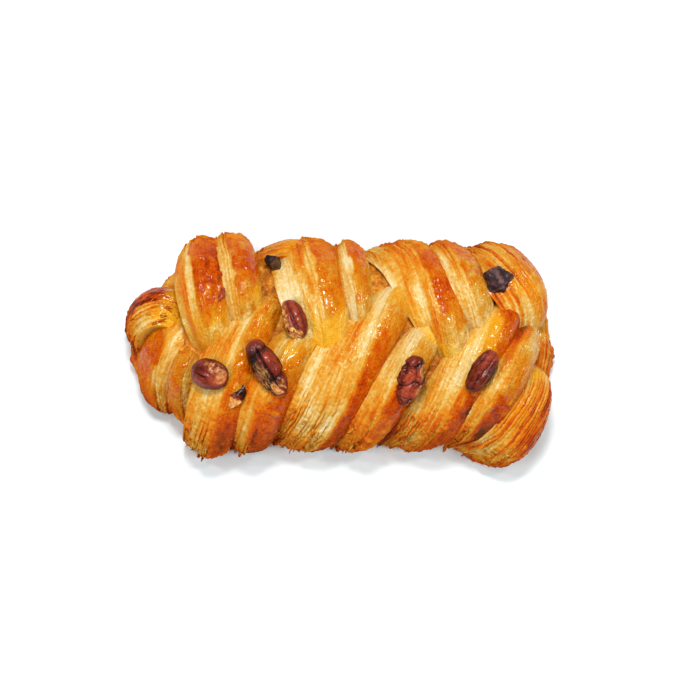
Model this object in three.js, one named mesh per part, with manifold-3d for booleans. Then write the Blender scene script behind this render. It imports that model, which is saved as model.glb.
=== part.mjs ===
// Pecan braid: a loaf of flaky dough whose slit sides are folded in pairs over a filling, first
// from one long side and then from the other, baked brown and topped with pecans.
// Millimetres, +Z up, +X along the loaf. The origin is under the middle of the outline.
import * as THREE from 'three';
import { mergeVertices } from 'three/addons/utils/BufferGeometryUtils.js';
import Module from 'manifold-3d';

const wasm = await Module();
wasm.setup();

// The loaf's long axis lies a little to the far side and drifts back across as it goes along +X.
const AXIS = { y: 0.3, drift: -0.02 };

// Every strip starts at a root under the board's level, where it is cut flat, goes out over a
// shoulder and up to the crown, and ends in a tip that dips under the next pair. The crown handle
// sits at a share of the way back from the tip to the root, and the strips lie lower towards the
// ends of the loaf. Along the rise from the root the ridge grows from a share of its height, and the
// cut face, splayed at the root, narrows. Tips from the far side sink and taper more.
const ROOT = { y: 31, z: -4, height: 0.5, rise: 0.4, flare: 3.5 };
const SHOULDER = { y: 39.5, z: 27 };
const CROWN = { share: 0.55, z: 36 };
const TIP = { z: 24, sinkStart: 0.7, sinkPower: 1.6, taperStart: 0.5 };
const FAR_TIP = { sink: 9, taper: 0.3 };
const NEAR_TIP = { sink: 5, taper: 0.12 };
const BULGE = { root: 0.5, shoulder: 1.8 };
const END_FALL = { start: 50, span: 25, share: 0.28, power: 1.5 };
// The strips' sides face away from a line inside the loaf that stops short of both ends.
const SPINE = { from: -50, to: 58, z: 8 };

// Section of a strip: a pale cut face, the flank, climbs from the left foot to the ridge, a
// rounded crust falls to the right foot, and the underside hangs below both feet.
const SECTION = { height: 6, foot: 1.5, sag: 8, belly: 0.22, flankBow: 0.65, crustRound: 0.8 };
const STRIP_ENDS = { root: 0.07, tip: 0.14 };
const FLANK_COLUMNS = 6;
const CRUST_COLUMNS = 5;
const UNDER_COLUMNS = 3;
const COLUMNS = FLANK_COLUMNS + CRUST_COLUMNS + UNDER_COLUMNS;
const STRIP_STEPS = 12;

// Relief: flaky layers stand out as ridges along the flank, more so near the root where they open
// up, and the crust is lumpy.
const LAYER_RIDGE = { height: 0.45, opening: 1.2, span: 0.4 };
const CRUST_LUMP = { height: 0.4, along: 17, around: 2.4 };

// Strips by name: the long side they start from, the X of the ridge at root, shoulder, crown and
// tip, how far the tip passes the axis, the flank's width at root and tip, the crust's width, and
// where it differs how far the side bulges out, how much lower the strip lies, how far it is splayed
// at the root, and how its tip sinks and tapers.
const STRIPS = {
  far_1: {
    side: 1, ridge: [-50, -50.5, -51, -40], reach: 11, flank: [3, 10], crust: 9.5, bulge: 0.8, flare: 2.5,
    sink: 6,
  },
  far_2: {
    side: 1, ridge: [-41.5, -40.5, -36.5, -31], reach: 4, flank: [6.5, 6.5], crust: 8, bulge: 2.2, taper: 0.1,
  },
  near_1: {
    side: -1, ridge: [-47.5, -47, -39, -18], reach: 23, flank: [6, 12], crust: 8, bulge: 4, flare: 0.5,
    sink: 11, taper: 0.3,
  },
  near_2: {
    side: -1, ridge: [-33.5, -33, -26, -5], reach: 10, flank: [7, 7], crust: 8, bulge: 1.7, flare: 4,
  },
  far_3: {
    side: 1, ridge: [-14.5, -9.5, -6, -0.5], reach: 17, flank: [12.5, 12], crust: 8.5, bulge: 1.8, flare: 6.5,
  },
  far_4: { side: 1, ridge: [-1, 2.5, 4.5, 9], reach: 6, flank: [5, 5], crust: 6 },
  near_3: {
    side: -1, ridge: [-14, -7, 8, 25], reach: 25, flank: [14, 12.5], crust: 7.5, bulge: 0.7, flare: 2,
  },
  near_4: { side: -1, ridge: [0.5, 8, 19, 36], reach: 12, flank: [6, 6], crust: 7.5 },
  far_5: { side: 1, ridge: [14, 27, 37, 42], reach: 18, flank: [13, 8], crust: 8, bulge: 1.1 },
  far_6: { side: 1, ridge: [28.5, 37, 45, 52], reach: 4, flank: [6.5, 8.5], crust: 8 },
  near_5: { side: -1, ridge: [22.5, 34, 49, 62], reach: 23, flank: [12.5, 6.5], crust: 7.5, bulge: -0.4 },
  near_6: {
    side: -1, ridge: [36.5, 44.5, 54, 68], reach: 10, flank: [6.5, 6.5], crust: 9, bulge: -3, flare: 1,
  },
  far_7: { side: 1, ridge: [42, 54, 69, 69], reach: -1, flank: [11, 14], crust: 8, drop: 1 },
  near_7: {
    side: -1, ridge: [45, 60, 69, 71], reach: -6, flank: [9, 9], crust: 7.5, bulge: 3.3, drop: 7, flare: 0,
  },
};

// Short lobes close the ends of the loaf, and one is a lip between two strips of the far side: four
// handles of the ridge, the X of the inner point that they face away from, the flank's width at both
// ends, the crust's width and the ridge's height.
const LOBE_CENTRE = { y: -1.7, z: 4 };
const LOBE_ENDS = { root: 0.2, tip: 0.1 };
const LOBE_ROOT = { height: 1, flare: 0 };
const LOBE_TIP = { sink: 2, taper: 0 };
const LOBES = {
  end_far: {
    ridge: [[-69.5, 2.3, 1], [-73, 13, 17], [-64.5, 17, 21], [-52, 11.3, 18]],
    centreX: -48, flank: [9, 9], crust: 6, height: 5,
  },
  end_near: {
    ridge: [[-60, -20.7, 0], [-65, -13.7, 17], [-59, -1.7, 22], [-51, 9.3, 19]],
    centreX: -48, flank: [8.5, 6], crust: 10, height: 5,
  },
  end_low: {
    ridge: [[-51.5, -25.2, 0], [-56, -19.5, 20], [-54, -12, 27], [-50, -4, 22]],
    centreX: -48, flank: [5, 5], crust: 5, height: 4,
  },
  end_back: {
    ridge: [[-53, 27, 0], [-61, 22, 10], [-62, 13, 14], [-60, 4, 10]],
    centreX: -48, flank: [5, 5], crust: 5, height: 4,
  },
  end_right: {
    ridge: [[61, -24, 2], [72, -12, 14], [72.5, 10, 15], [64, 22, 8]],
    centreX: 56, flank: [7, 7], crust: 5, height: 4,
  },
  far_lip: {
    ridge: [[-31, 28, 6], [-27, 33.5, 15.5], [-19, 34, 19.5], [-8, 33.5, 19.5]],
    centreX: -20, flank: [6, 6], crust: 8, height: 3,
  },
};

// The uncut middle of the dough sheet is the base, a rounded slab with a bevelled rim.
const BASE = { x: 1, y: -1.3, halfLength: 74, halfWidth: 32, thickness: 9 };
const BASE_RIM = { bevel: 3, squareness: 2.25, points: 40 };

// The filling is a long rounded loaf that rests in the base and shows in the gaps.
const FILLING = { x: 1, z: 15.5, half: [63, 28.5, 12], squareness: 0.72, around: 24, along: 14 };

// Free gap between touching pieces, and the size of the block that cuts the underside flat.
const GAP = 0.3;
const BOARD_BLOCK = 400;

// Pecans and bits of pecan: place of the middle, length, width and thickness, then yaw, pitch and
// roll in degrees.
const PECAN_FURROWS = { count: 6, depth: 0.08 };
const PECAN_WAVES = { count: 5, depth: 0.05 };
const PECAN_FULLNESS = 0.75;
const PECAN_AROUND = 16;
const PECAN_ALONG = 8;
const PECANS = {
  pecan_1: { at: [-44.3, -13.6, 33.5], size: [13.5, 10.5, 8], turn: [-20, -18, 8] },
  pecan_2: { at: [-24.6, -11.5, 35.2], size: [21.5, 9.5, 8], turn: [-59, 5, 0] },
  pecan_3: { at: [-15.7, 5.5, 33.4], size: [14.5, 8.5, 7], turn: [-70, -8, 0] },
  pecan_4: { at: [25.1, -16, 33.4], size: [18, 10, 7.5], turn: [78, -22, 18] },
  pecan_5: { at: [49.1, -12.7, 34.8], size: [16, 8.5, 7.5], turn: [57, -6, 14] },
};
const BITS = {
  burnt_pecan_1: { at: [55.1, 20.3, 31.4], size: [10, 9.5, 6], turn: [20, 10, -14] },
  burnt_pecan_2: { at: [-23, 27.4, 25.5], size: [6, 5, 4.5], turn: [-40, -30, 0] },
  pecan_chip_1: { at: [-35.3, -21, 31], size: [8.5, 5.5, 4], turn: [60, -13, 30] },
  pecan_chip_2: { at: [-40.5, 14.7, 32.4], size: [6.5, 3.4, 3], turn: [75, 14, 20] },
};
const BIT_CRAG = { depth: 0.14, waves: new THREE.Vector3(7, 5, 9) };

// Colours of the finished surfaces.
const COLOURS = {
  pastry: { color: 0xd9952f, roughness: 0.4, metalness: 0 },
  filling: { color: 0xc47a1e, roughness: 0.6, metalness: 0 },
  pecan: { color: 0x7a3a2c, roughness: 0.45, metalness: 0 },
  burnt: { color: 0x4a3230, roughness: 0.55, metalness: 0 },
};

const { lerp, smoothstep } = THREE.MathUtils;
const clamp01 = (value) => THREE.MathUtils.clamp(value, 0, 1);
const axisY = (x) => AXIS.y + AXIS.drift * x;
const endFall = (x) => (
  1 - END_FALL.share * clamp01((Math.abs(x) - END_FALL.start) / END_FALL.span) ** END_FALL.power
);
const roundedEnd = (share) => Math.sqrt(1 - (1 - clamp01(share)) ** 2);

// Turns a sphere's grid of vertices into a closed surface: place(along, column) gives each point.
function loft(place, steps, columns) {
  const geometry = new THREE.SphereGeometry(1, columns, steps);
  const position = geometry.attributes.position;
  for (let i = 0; i < position.count; i += 1) {
    const row = Math.floor(i / (columns + 1));
    const column = i % (columns + 1) % columns;
    position.setXYZ(i, ...place(row / steps, column).toArray());
  }
  return geometry;
}

function signedVolume(points, triangles) {
  const corner = (i) => new THREE.Vector3().fromArray(points, 3 * triangles[i]);
  let volume = 0;
  for (let i = 0; i < triangles.length; i += 3) {
    volume += corner(i).dot(corner(i + 1).cross(corner(i + 2)));
  }
  return volume / 6;
}

// A closed geometry as a solid with its faces pointing out.
function solidOf(geometry) {
  geometry.deleteAttribute('normal');
  geometry.deleteAttribute('uv');
  const merged = mergeVertices(geometry, 1e-4);
  const vertProperties = Float32Array.from(merged.attributes.position.array);
  const triVerts = Uint32Array.from(merged.index.array);
  if (signedVolume(vertProperties, triVerts) < 0) triVerts.reverse();
  return new wasm.Manifold(new wasm.Mesh({ numProp: 3, vertProperties, triVerts }));
}

// Cutting can leave crumbs: the largest body is the piece.
function largestBody(solid) {
  const bodies = solid.decompose();
  return bodies.reduce((best, body) => (body.volume() > best.volume() ? body : best));
}

function meshOf(name, solid, finish) {
  const { vertProperties, triVerts } = solid.getMesh();
  const geometry = new THREE.BufferGeometry();
  geometry.setAttribute('position', new THREE.BufferAttribute(vertProperties, 3));
  geometry.setIndex(new THREE.BufferAttribute(triVerts, 1));
  geometry.computeVertexNormals();
  const mesh = new THREE.Mesh(geometry, new THREE.MeshStandardMaterial(finish));
  mesh.name = name;
  return mesh;
}

// One column of a strip's section: shares of the flank and crust widths across, of the height up
// and of the sag down, with the relief of that column.
function sectionAt(column, t) {
  if (column < FLANK_COLUMNS) {
    const q = column / FLANK_COLUMNS;
    const opening = 1 + LAYER_RIDGE.opening * clamp01(1 - t / LAYER_RIDGE.span);
    const layer = column === 0 ? 0 : LAYER_RIDGE.height * opening * (column % 2 === 0 ? -1 : 1);
    const up = lerp(q, Math.sin(Math.PI / 2 * q), SECTION.flankBow);
    return { left: q - 1, right: 0, up, down: 0, relief: layer };
  }
  if (column < FLANK_COLUMNS + CRUST_COLUMNS) {
    const q = (column - FLANK_COLUMNS) / CRUST_COLUMNS;
    const lump = CRUST_LUMP.height * Math.sin(CRUST_LUMP.along * t + CRUST_LUMP.around * column);
    const up = Math.cos(Math.PI / 2 * q) ** SECTION.crustRound;
    return { left: 0, right: Math.sin(Math.PI / 2 * q), up, down: 0, relief: lump };
  }
  const q = (column - FLANK_COLUMNS - CRUST_COLUMNS) / UNDER_COLUMNS;
  const left = -clamp01(2 * q - 1);
  return { left, right: clamp01(1 - 2 * q), up: 0, down: Math.sin(Math.PI * q), relief: 0 };
}

// Carries the section along a ridge curve. Centre gives the inner point that a strip faces away from.
function ribbon({ curve, centre, side, flank, crust, height, root, tip, ends }) {
  const place = (t, column) => {
    const point = curve.getPoint(t);
    const along = curve.getTangent(t);
    const out = point.clone().sub(centre(point));
    out.addScaledVector(along, -out.dot(along)).normalize();
    const across = new THREE.Vector3().crossVectors(out, along).multiplyScalar(side);
    const round = roundedEnd(t / ends.root) * roundedEnd((1 - t) / ends.tip);
    const grown = smoothstep(t, 0, ROOT.rise);
    const narrow = 1 - tip.taper * smoothstep(t, TIP.taperStart, 1);
    const widen = round * narrow * (1 + SECTION.belly * Math.sin(Math.PI * t));
    const dip = tip.sink * clamp01((t - TIP.sinkStart) / (1 - TIP.sinkStart)) ** TIP.sinkPower;
    const { left, right, up, down, relief } = sectionAt(column, t);
    const flankWidth = lerp(flank[0], flank[1], t) + root.flare * (1 - grown);
    const ridgeHeight = height * lerp(root.height, 1, grown);
    const rise = -SECTION.foot + (ridgeHeight + SECTION.foot) * up - SECTION.sag * down + relief;
    return point
      .addScaledVector(across, widen * (flankWidth * left + crust * right))
      .addScaledVector(out, round * rise - dip);
  };
  return solidOf(loft(place, STRIP_STEPS, COLUMNS));
}

function strip({ side, ridge, reach, flank, crust, bulge = 0, drop = 0, flare = ROOT.flare, ...ownTip }) {
  const tipY = -side * reach;
  const crownY = tipY + side * (ROOT.y + reach) * CROWN.share;
  const rootY = side * (ROOT.y + BULGE.root * bulge);
  const shoulderY = side * (SHOULDER.y + BULGE.shoulder * bulge);
  const y = [rootY, shoulderY, crownY, tipY];
  const z = [SHOULDER.z, CROWN.z, TIP.z];
  const handles = ridge.map((x, i) => {
    const level = i === 0 ? ROOT.z : z[i - 1] * endFall(x) - drop;
    return new THREE.Vector3(x, y[i] + axisY(x), level);
  });
  const curve = new THREE.CubicBezierCurve3(...handles);
  const spineX = (x) => THREE.MathUtils.clamp(x, SPINE.from, SPINE.to);
  const centre = ({ x }) => new THREE.Vector3(spineX(x), axisY(x), SPINE.z);
  const { height } = SECTION;
  const root = { height: ROOT.height, flare };
  const tip = { ...(side > 0 ? FAR_TIP : NEAR_TIP), ...ownTip };
  return ribbon({ curve, centre, side, flank, crust, height, root, tip, ends: STRIP_ENDS });
}

function lobe({ ridge, centreX, flank, crust, height }) {
  const curve = new THREE.CubicBezierCurve3(...ridge.map((handle) => new THREE.Vector3(...handle)));
  const centre = () => new THREE.Vector3(centreX, LOBE_CENTRE.y, LOBE_CENTRE.z);
  return ribbon({
    curve, centre, side: 1, flank, crust, height, root: LOBE_ROOT, tip: LOBE_TIP, ends: LOBE_ENDS,
  });
}

// The base's outline is a superellipse that follows the loaf's drift.
function base() {
  const { halfLength, halfWidth } = BASE;
  const { bevel, squareness, points } = BASE_RIM;
  const power = (value) => Math.sign(value) * Math.abs(value) ** (2 / squareness);
  const outline = Array.from({ length: points }, (_, i) => {
    const angle = 2 * Math.PI * i / points;
    const x = BASE.x + (halfLength - bevel) * power(Math.cos(angle));
    return new THREE.Vector2(x, BASE.y + axisY(x) + (halfWidth - bevel) * power(Math.sin(angle)));
  });
  const geometry = new THREE.ExtrudeGeometry(new THREE.Shape(outline), {
    depth: BASE.thickness - 2 * bevel, bevelThickness: bevel, bevelSize: bevel, bevelSegments: 2,
  });
  geometry.translate(0, 0, bevel);
  return solidOf(geometry);
}

// A rounded loaf: each coordinate of a unit sphere is pushed outwards by a power below one.
function filling(grow) {
  const power = (value) => Math.sign(value) * Math.abs(value) ** FILLING.squareness;
  const [length, width, height] = FILLING.half.map((half) => half + grow);
  const place = (t, column) => {
    const around = 2 * Math.PI * column / FILLING.around;
    const radius = power(Math.sin(Math.PI * t));
    const x = FILLING.x - length * power(Math.cos(Math.PI * t));
    const y = axisY(x) + width * radius * power(Math.cos(around));
    return new THREE.Vector3(x, y, FILLING.z + height * radius * power(Math.sin(around)));
  };
  return solidOf(loft(place, FILLING.along, FILLING.around));
}

function turned(geometry, { at, turn }) {
  const [yaw, pitch, roll] = turn.map(THREE.MathUtils.degToRad);
  const rotation = new THREE.Matrix4().makeRotationFromEuler(new THREE.Euler(roll, pitch, yaw, 'ZYX'));
  geometry.applyMatrix4(rotation.setPosition(...at));
  return solidOf(geometry);
}

// Half a pecan: a long oval with furrows along it and gentle waves from end to end.
function pecan({ at, size, turn }, grow) {
  const [length, width, thickness] = size.map((value) => value / 2 + grow);
  const place = (t, column) => {
    const around = 2 * Math.PI * column / PECAN_AROUND;
    const furrow = PECAN_FURROWS.depth * Math.cos(PECAN_FURROWS.count * around);
    const wave = PECAN_WAVES.depth * Math.sin(PECAN_WAVES.count * Math.PI * t);
    const radius = Math.sin(Math.PI * t) ** PECAN_FULLNESS * (1 + furrow + wave);
    const y = width * radius * Math.cos(around);
    return new THREE.Vector3(-length * Math.cos(Math.PI * t), y, thickness * radius * Math.sin(around));
  };
  return turned(loft(place, PECAN_ALONG, PECAN_AROUND), { at, turn });
}

// A broken or burnt bit: a many-sided lump whose corners stand in and out.
function bit({ at, size, turn }, grow) {
  const geometry = new THREE.IcosahedronGeometry(1, 1);
  const position = geometry.attributes.position;
  const corner = new THREE.Vector3();
  const half = new THREE.Vector3(...size).multiplyScalar(0.5).addScalar(grow);
  for (let i = 0; i < position.count; i += 1) {
    corner.fromBufferAttribute(position, i);
    const crag = 1 + BIT_CRAG.depth * Math.sin(BIT_CRAG.waves.dot(corner));
    corner.multiplyScalar(crag).multiply(half);
    position.setXYZ(i, ...corner.toArray());
  }
  return turned(geometry, { at, turn });
}

// Everything below the board is cut away, so that the loaf stands on a flat underside.
function belowBoard() {
  const block = new THREE.BoxGeometry(BOARD_BLOCK, BOARD_BLOCK, BOARD_BLOCK);
  return solidOf(block.translate(0, 0, -BOARD_BLOCK / 2));
}

const toppings = [
  ...Object.entries(PECANS).map(([name, spec]) => ({ name, make: pecan, spec, finish: COLOURS.pecan })),
  ...Object.entries(BITS).map(([name, spec]) => ({
    name, make: bit, spec, finish: name.startsWith('burnt') ? COLOURS.burnt : COLOURS.pecan,
  })),
];
const sockets = toppings.map(({ make, spec }) => make(spec, GAP));

let dough = base();
Object.values(STRIPS).forEach((spec) => { dough = dough.add(strip(spec)); });
Object.values(LOBES).forEach((spec) => { dough = dough.add(lobe(spec)); });
dough = dough.subtract(belowBoard()).subtract(filling(GAP));
let inner = filling(0);
sockets.forEach((socket) => {
  dough = dough.subtract(socket);
  inner = inner.subtract(socket);
});

const braid = new THREE.Group();
braid.add(meshOf('pastry', largestBody(dough), COLOURS.pastry));
braid.add(meshOf('filling', largestBody(inner), COLOURS.filling));
toppings.forEach(({ name, make, spec, finish }) => braid.add(meshOf(name, make(spec, 0), finish)));

// The places above are counted from the loaf's core. This puts the origin under the outline's middle.
const middle = new THREE.Box3().setFromObject(braid).getCenter(new THREE.Vector3());
braid.position.set(-middle.x, -middle.y, 0);

export default braid;
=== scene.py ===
# %% [markdown]
# This lesson builds a pecan braid. The real thing is a small loaf of flaky dough. Its long sides are slit
# into strips, and the strips are folded over a brown filling in pairs, first from the far side and then from
# the near side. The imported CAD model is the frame: it has the true size and place of every piece. Each of its
# solids gets a finely detailed surface here, from the same sizes and formulas.

import math

import bpy
import numpy as np
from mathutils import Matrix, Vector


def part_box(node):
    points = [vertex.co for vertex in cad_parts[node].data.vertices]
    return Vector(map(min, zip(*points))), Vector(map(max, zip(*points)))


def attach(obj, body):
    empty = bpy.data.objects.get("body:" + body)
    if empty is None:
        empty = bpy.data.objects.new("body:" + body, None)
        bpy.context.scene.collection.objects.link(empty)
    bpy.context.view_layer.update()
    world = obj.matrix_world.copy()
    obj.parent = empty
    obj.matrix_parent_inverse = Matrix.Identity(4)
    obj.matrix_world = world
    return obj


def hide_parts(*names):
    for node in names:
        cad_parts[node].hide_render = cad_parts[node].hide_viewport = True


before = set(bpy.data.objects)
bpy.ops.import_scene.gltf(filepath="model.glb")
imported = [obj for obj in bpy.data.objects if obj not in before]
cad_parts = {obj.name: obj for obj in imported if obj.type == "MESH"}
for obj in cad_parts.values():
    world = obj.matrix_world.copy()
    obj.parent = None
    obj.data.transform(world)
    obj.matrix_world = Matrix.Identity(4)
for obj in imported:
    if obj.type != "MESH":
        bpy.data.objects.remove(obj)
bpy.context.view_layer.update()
MM = 0.001


# %% [markdown]
# The sizes in this lesson are counted from the loaf's core, a line that drifts a little across the loaf, but
# the CAD model's origin lies under the middle of its outline. The filling is a plain loaf round that core, so
# the place of its box in the frame tells how far everything has to be shifted.

# %% Where the core lies in the frame, in millimetres
AXIS = {"y": 0.3, "drift": -0.02}
FILLING = {"x": 1, "z": 15.5, "half": (63, 28.5, 12), "squareness": 0.72}


def axis_y(x):
    """The loaf's core line: it drifts to the near side as it goes along +X."""
    return AXIS["y"] + AXIS["drift"] * x


paste_low, paste_high = (np.array(corner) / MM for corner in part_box("filling"))
core_middle = np.array([FILLING["x"], axis_y(FILLING["x"]), 0])
ORIGIN_SHIFT = ((paste_low + paste_high) / 2 - core_middle) * (1, 1, 0)
print("shift from the core to the frame:", ORIGIN_SHIFT.round(2), "mm")

# %% [markdown]
# Baked dough is uneven everywhere, so nearly every surface needs smooth random hills. Blender has such
# noise in its shaders and in mathutils, but here whole arrays of points are wanted at once, so the hills
# are worked out with numpy: random heights on a grid, blended smoothly in between.

# %% Smooth random hills
NOISE_CELLS = 64
OCTAVE_SEEDS = 31


def hills(x, y, seed):
    """Random hills between 0 and 1. Heights are drawn for the corners of an endless square grid, and
    a point between corners blends them by the curve 3f^2 - 2f^3 of its fraction f of the way across."""
    heights = np.random.default_rng(seed).random((NOISE_CELLS, NOISE_CELLS))
    x, y = np.broadcast_arrays(np.asarray(x, float), np.asarray(y, float))
    column, row = np.floor(x).astype(int), np.floor(y).astype(int)
    right, up = x - column, y - row
    right, up = right**2 * (3 - 2 * right), up**2 * (3 - 2 * up)
    west, east = column % NOISE_CELLS, (column + 1) % NOISE_CELLS
    south, north = row % NOISE_CELLS, (row + 1) % NOISE_CELLS
    low = heights[west, south] * (1 - right) + heights[east, south] * right
    high = heights[west, north] * (1 - right) + heights[east, north] * right
    return low * (1 - up) + high * up


def rough_hills(x, y, seed, octaves=3):
    """Hills upon hills: each octave is twice as fine and half as high as the one before."""
    shares = 0.5 ** np.arange(octaves)
    layers = [hills(x * 2**i, y * 2**i, seed + OCTAVE_SEEDS * i) * share for i, share in enumerate(shares)]
    return sum(layers) / shares.sum()


def smooth(start, end, value):
    """Climbs from 0 at start to 1 at end along 3s^2 - 2s^3, where s is the share of the way."""
    share = np.clip((value - start) / (end - start), 0, 1)
    return share**2 * (3 - 2 * share)


sample = rough_hills(np.linspace(0, 9, 200), np.linspace(0, 7, 200), 1)
print("hills reach from", round(sample.min(), 2), "to", round(sample.max(), 2))

# %% [markdown]
# Every piece of this pastry is a closed lump, so one helper can build them all. A lump is a stack of
# rings: each ring is joined to the next by four-sided faces, and a fan of triangles closes each end.
# Numbers such as how brown a spot is are kept on the points as attributes, for the materials to read.

# %% Points and faces of a stack of rings
def points_of(x, y, z):
    """Three arrays, stretched to a common shape, as one array of points."""
    return np.stack(np.broadcast_arrays(x, y, z), axis=-1)


def ring_grid(rings, columns):
    """The middle of each ring as a share from 0 to 1, in a column, and angles once round, in a row."""
    share = (np.arange(rings) + 0.5) / rings
    angle = np.arange(columns) / columns * 2 * np.pi
    return share[:, None], angle[None, :]


def ring_faces(rings, columns):
    """Four corners per face between neighbouring rings, and triangles from both end points."""
    ring, column = np.meshgrid(np.arange(rings - 1), np.arange(columns), indexing="ij")
    after = (column + 1) % columns
    here, beyond = ring * columns, (ring + 1) * columns
    quads = np.stack([here + column, here + after, beyond + after, beyond + column], axis=-1).reshape(-1, 4)
    around = np.arange(columns)
    onward = (around + 1) % columns
    first, last = rings * columns, (rings - 1) * columns
    start_fan = np.stack([np.full(columns, first), onward, around], axis=-1)
    end_fan = np.stack([np.full(columns, first + 1), last + around, last + onward], axis=-1)
    return quads, np.concatenate([start_fan, end_fan])


def with_ends(values):
    """Values on rings as one list of points, followed by the means of the first and last ring."""
    flat = values.reshape(values.shape[0] * values.shape[1], -1)
    return np.concatenate([flat, [values[0].mean(axis=0).ravel()], [values[-1].mean(axis=0).ravel()]])


print("a ring of 8 columns by 5 rings has", len(ring_faces(5, 8)[0]), "four-sided faces")

# %% From points and faces to a closed mesh
def enclosed_volume(points, quads):
    """Six times the volume: for each half of a face, its first corner dotted with the cross product
    of the other two. It is negative where the faces point inwards."""
    a, b, c, d = (points[quads[:, i]] for i in range(4))
    return (a * np.cross(b, c)).sum() + (a * np.cross(c, d)).sum()


def mesh_piece(name, points, quads, triangles, attributes):
    """One object at the origin, in metres, with smooth faces that point outwards."""
    if enclosed_volume(points, quads) < 0:
        quads, triangles = quads[:, ::-1], triangles[:, ::-1]
    mesh = bpy.data.meshes.new(name)
    mesh.from_pydata((points + ORIGIN_SHIFT) * MM, [], quads.tolist() + triangles.tolist())
    for key, values in attributes.items():
        kind, field = ("FLOAT", "value") if values.shape[1] == 1 else ("FLOAT_VECTOR", "vector")
        attribute = mesh.attributes.new(key, kind, "POINT")
        attribute.data.foreach_set(field, values.astype(np.float32).ravel())
    mesh.shade_smooth()
    piece = bpy.data.objects.new(name, mesh)
    bpy.context.scene.collection.objects.link(piece)
    return piece


def ring_piece(name, rings, **attributes):
    """A closed lump from an array of rings by columns by 3, with attributes of rings by columns."""
    quads, triangles = ring_faces(*rings.shape[:2])
    on_points = {key: with_ends(values) for key, values in attributes.items()}
    return mesh_piece(name, with_ends(rings), quads, triangles, on_points)


print("pieces are shifted by", ORIGIN_SHIFT.round(2), "mm and scaled by", MM)

# %% [markdown]
# A strip is one finger of the slit dough sheet. Its left side is the cut face, where the pale sheets show
# edge-on, and its right side is the egg-washed crust. It could be a Blender curve with a bevel profile,
# but that keeps one profile all along. Here the section is carried along a cubic curve by numpy, so its
# width, height and relief can change on the way.

# %% Sizes shared with the CAD strips, in millimetres
ROOT = {"y": 31, "z": -4, "height": 0.5, "rise": 0.4, "flare": 3.5}
SHOULDER = {"y": 39.5, "z": 27}
CROWN = {"share": 0.55, "z": 36}
TIP = {"z": 24, "sink_start": 0.7, "sink_power": 1.6, "taper_start": 0.5}
TIP_SINK = {1: 9, -1: 5}
TIP_TAPER = {1: 0.3, -1: 0.12}
BULGE = {"root": 0.5, "shoulder": 1.8}
END_FALL = {"start": 50, "span": 25, "share": 0.28, "power": 1.5}
SPINE = {"from": -50, "to": 58, "z": 8}
SECTION = {"height": 6, "foot": 1.5, "sag": 8, "belly": 0.22, "flank_bow": 0.65, "crust_round": 0.8}
STRIP_ENDS = {"root": 0.07, "tip": 0.14}


def end_fall(x):
    """Share of the full height that is left at x: 1 in the middle, less towards both ends."""
    past = np.clip((abs(x) - END_FALL["start"]) / END_FALL["span"], 0, 1)
    return 1 - END_FALL["share"] * past ** END_FALL["power"]


def strip_handles(side, ridge, reach, bulge=0, drop=0):
    """Four handles of a strip's ridge: root under the board, shoulder, crown and tip."""
    tip_y = -side * reach
    root_y = side * (ROOT["y"] + BULGE["root"] * bulge)
    shoulder_y = side * (SHOULDER["y"] + BULGE["shoulder"] * bulge)
    crown_y = tip_y + side * (ROOT["y"] + reach) * CROWN["share"]
    x = np.array(ridge, float)
    y = np.array([root_y, shoulder_y, crown_y, tip_y]) + axis_y(x)
    z = np.array([0, SHOULDER["z"], CROWN["z"], TIP["z"]]) * end_fall(x) - drop
    z[0] = ROOT["z"]
    return np.stack([x, y, z], axis=1)


print("strips keep", round(float(end_fall(70)), 2), "of their height at x = 70 mm")

# %% The ridge curve and the section
def ridge_curve(handles, t):
    """Cubic curve: the handles weighted by (1-t)^3, 3t(1-t)^2, 3t^2(1-t) and t^3. The direction is the
    derivative of the same weights, made one long. The mean speed is the curve's length."""
    t = t[:, None]
    weights = np.hstack([(1 - t) ** 3, 3 * t * (1 - t) ** 2, 3 * t**2 * (1 - t), t**3])
    slopes = np.hstack([-3 * (1 - t) ** 2, 3 * (1 - t) * (1 - 3 * t), 3 * t * (2 - 3 * t), 3 * t**2])
    heading = slopes @ handles
    speed = np.linalg.norm(heading, axis=1, keepdims=True)
    return weights @ handles, heading / speed, speed.mean()


def rounded_end(share):
    """Quarter circle from 0 to 1, so that a strip ends in a round nose."""
    return np.sqrt(1 - (1 - np.clip(share, 0, 1)) ** 2)


def section(flank_columns, crust_columns, under_columns):
    """Once round a strip. The flank climbs as a mix of a line and a sine, the crust falls as a cosine
    and the underside hangs as a sine. Each column has its shares of the flank's width, the crust's
    width, the height and the sag, and its place within its own stretch."""
    flank, crust, under = (np.arange(n) / n for n in (flank_columns, crust_columns, under_columns))
    bow = SECTION["flank_bow"]
    left = np.concatenate([flank - 1, 0 * crust, -np.clip(2 * under - 1, 0, 1)])
    right = np.concatenate([0 * flank, np.sin(np.pi / 2 * crust), np.clip(1 - 2 * under, 0, 1)])
    climb = flank * (1 - bow) + np.sin(np.pi / 2 * flank) * bow
    fall = np.cos(np.pi / 2 * crust) ** SECTION["crust_round"]
    up = np.concatenate([climb, fall, 0 * under])
    down = np.concatenate([0 * flank, 0 * crust, np.sin(np.pi * under)])
    place = np.concatenate([flank, crust, under])
    stretch = np.repeat([0, 1, 2], [flank_columns, crust_columns, under_columns])
    return {"left": left, "right": right, "up": up, "down": down, "place": place, "stretch": stretch}


print("a section of 64, 52 and 12 columns has", len(section(64, 52, 12)["left"]), "in all")
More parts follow.
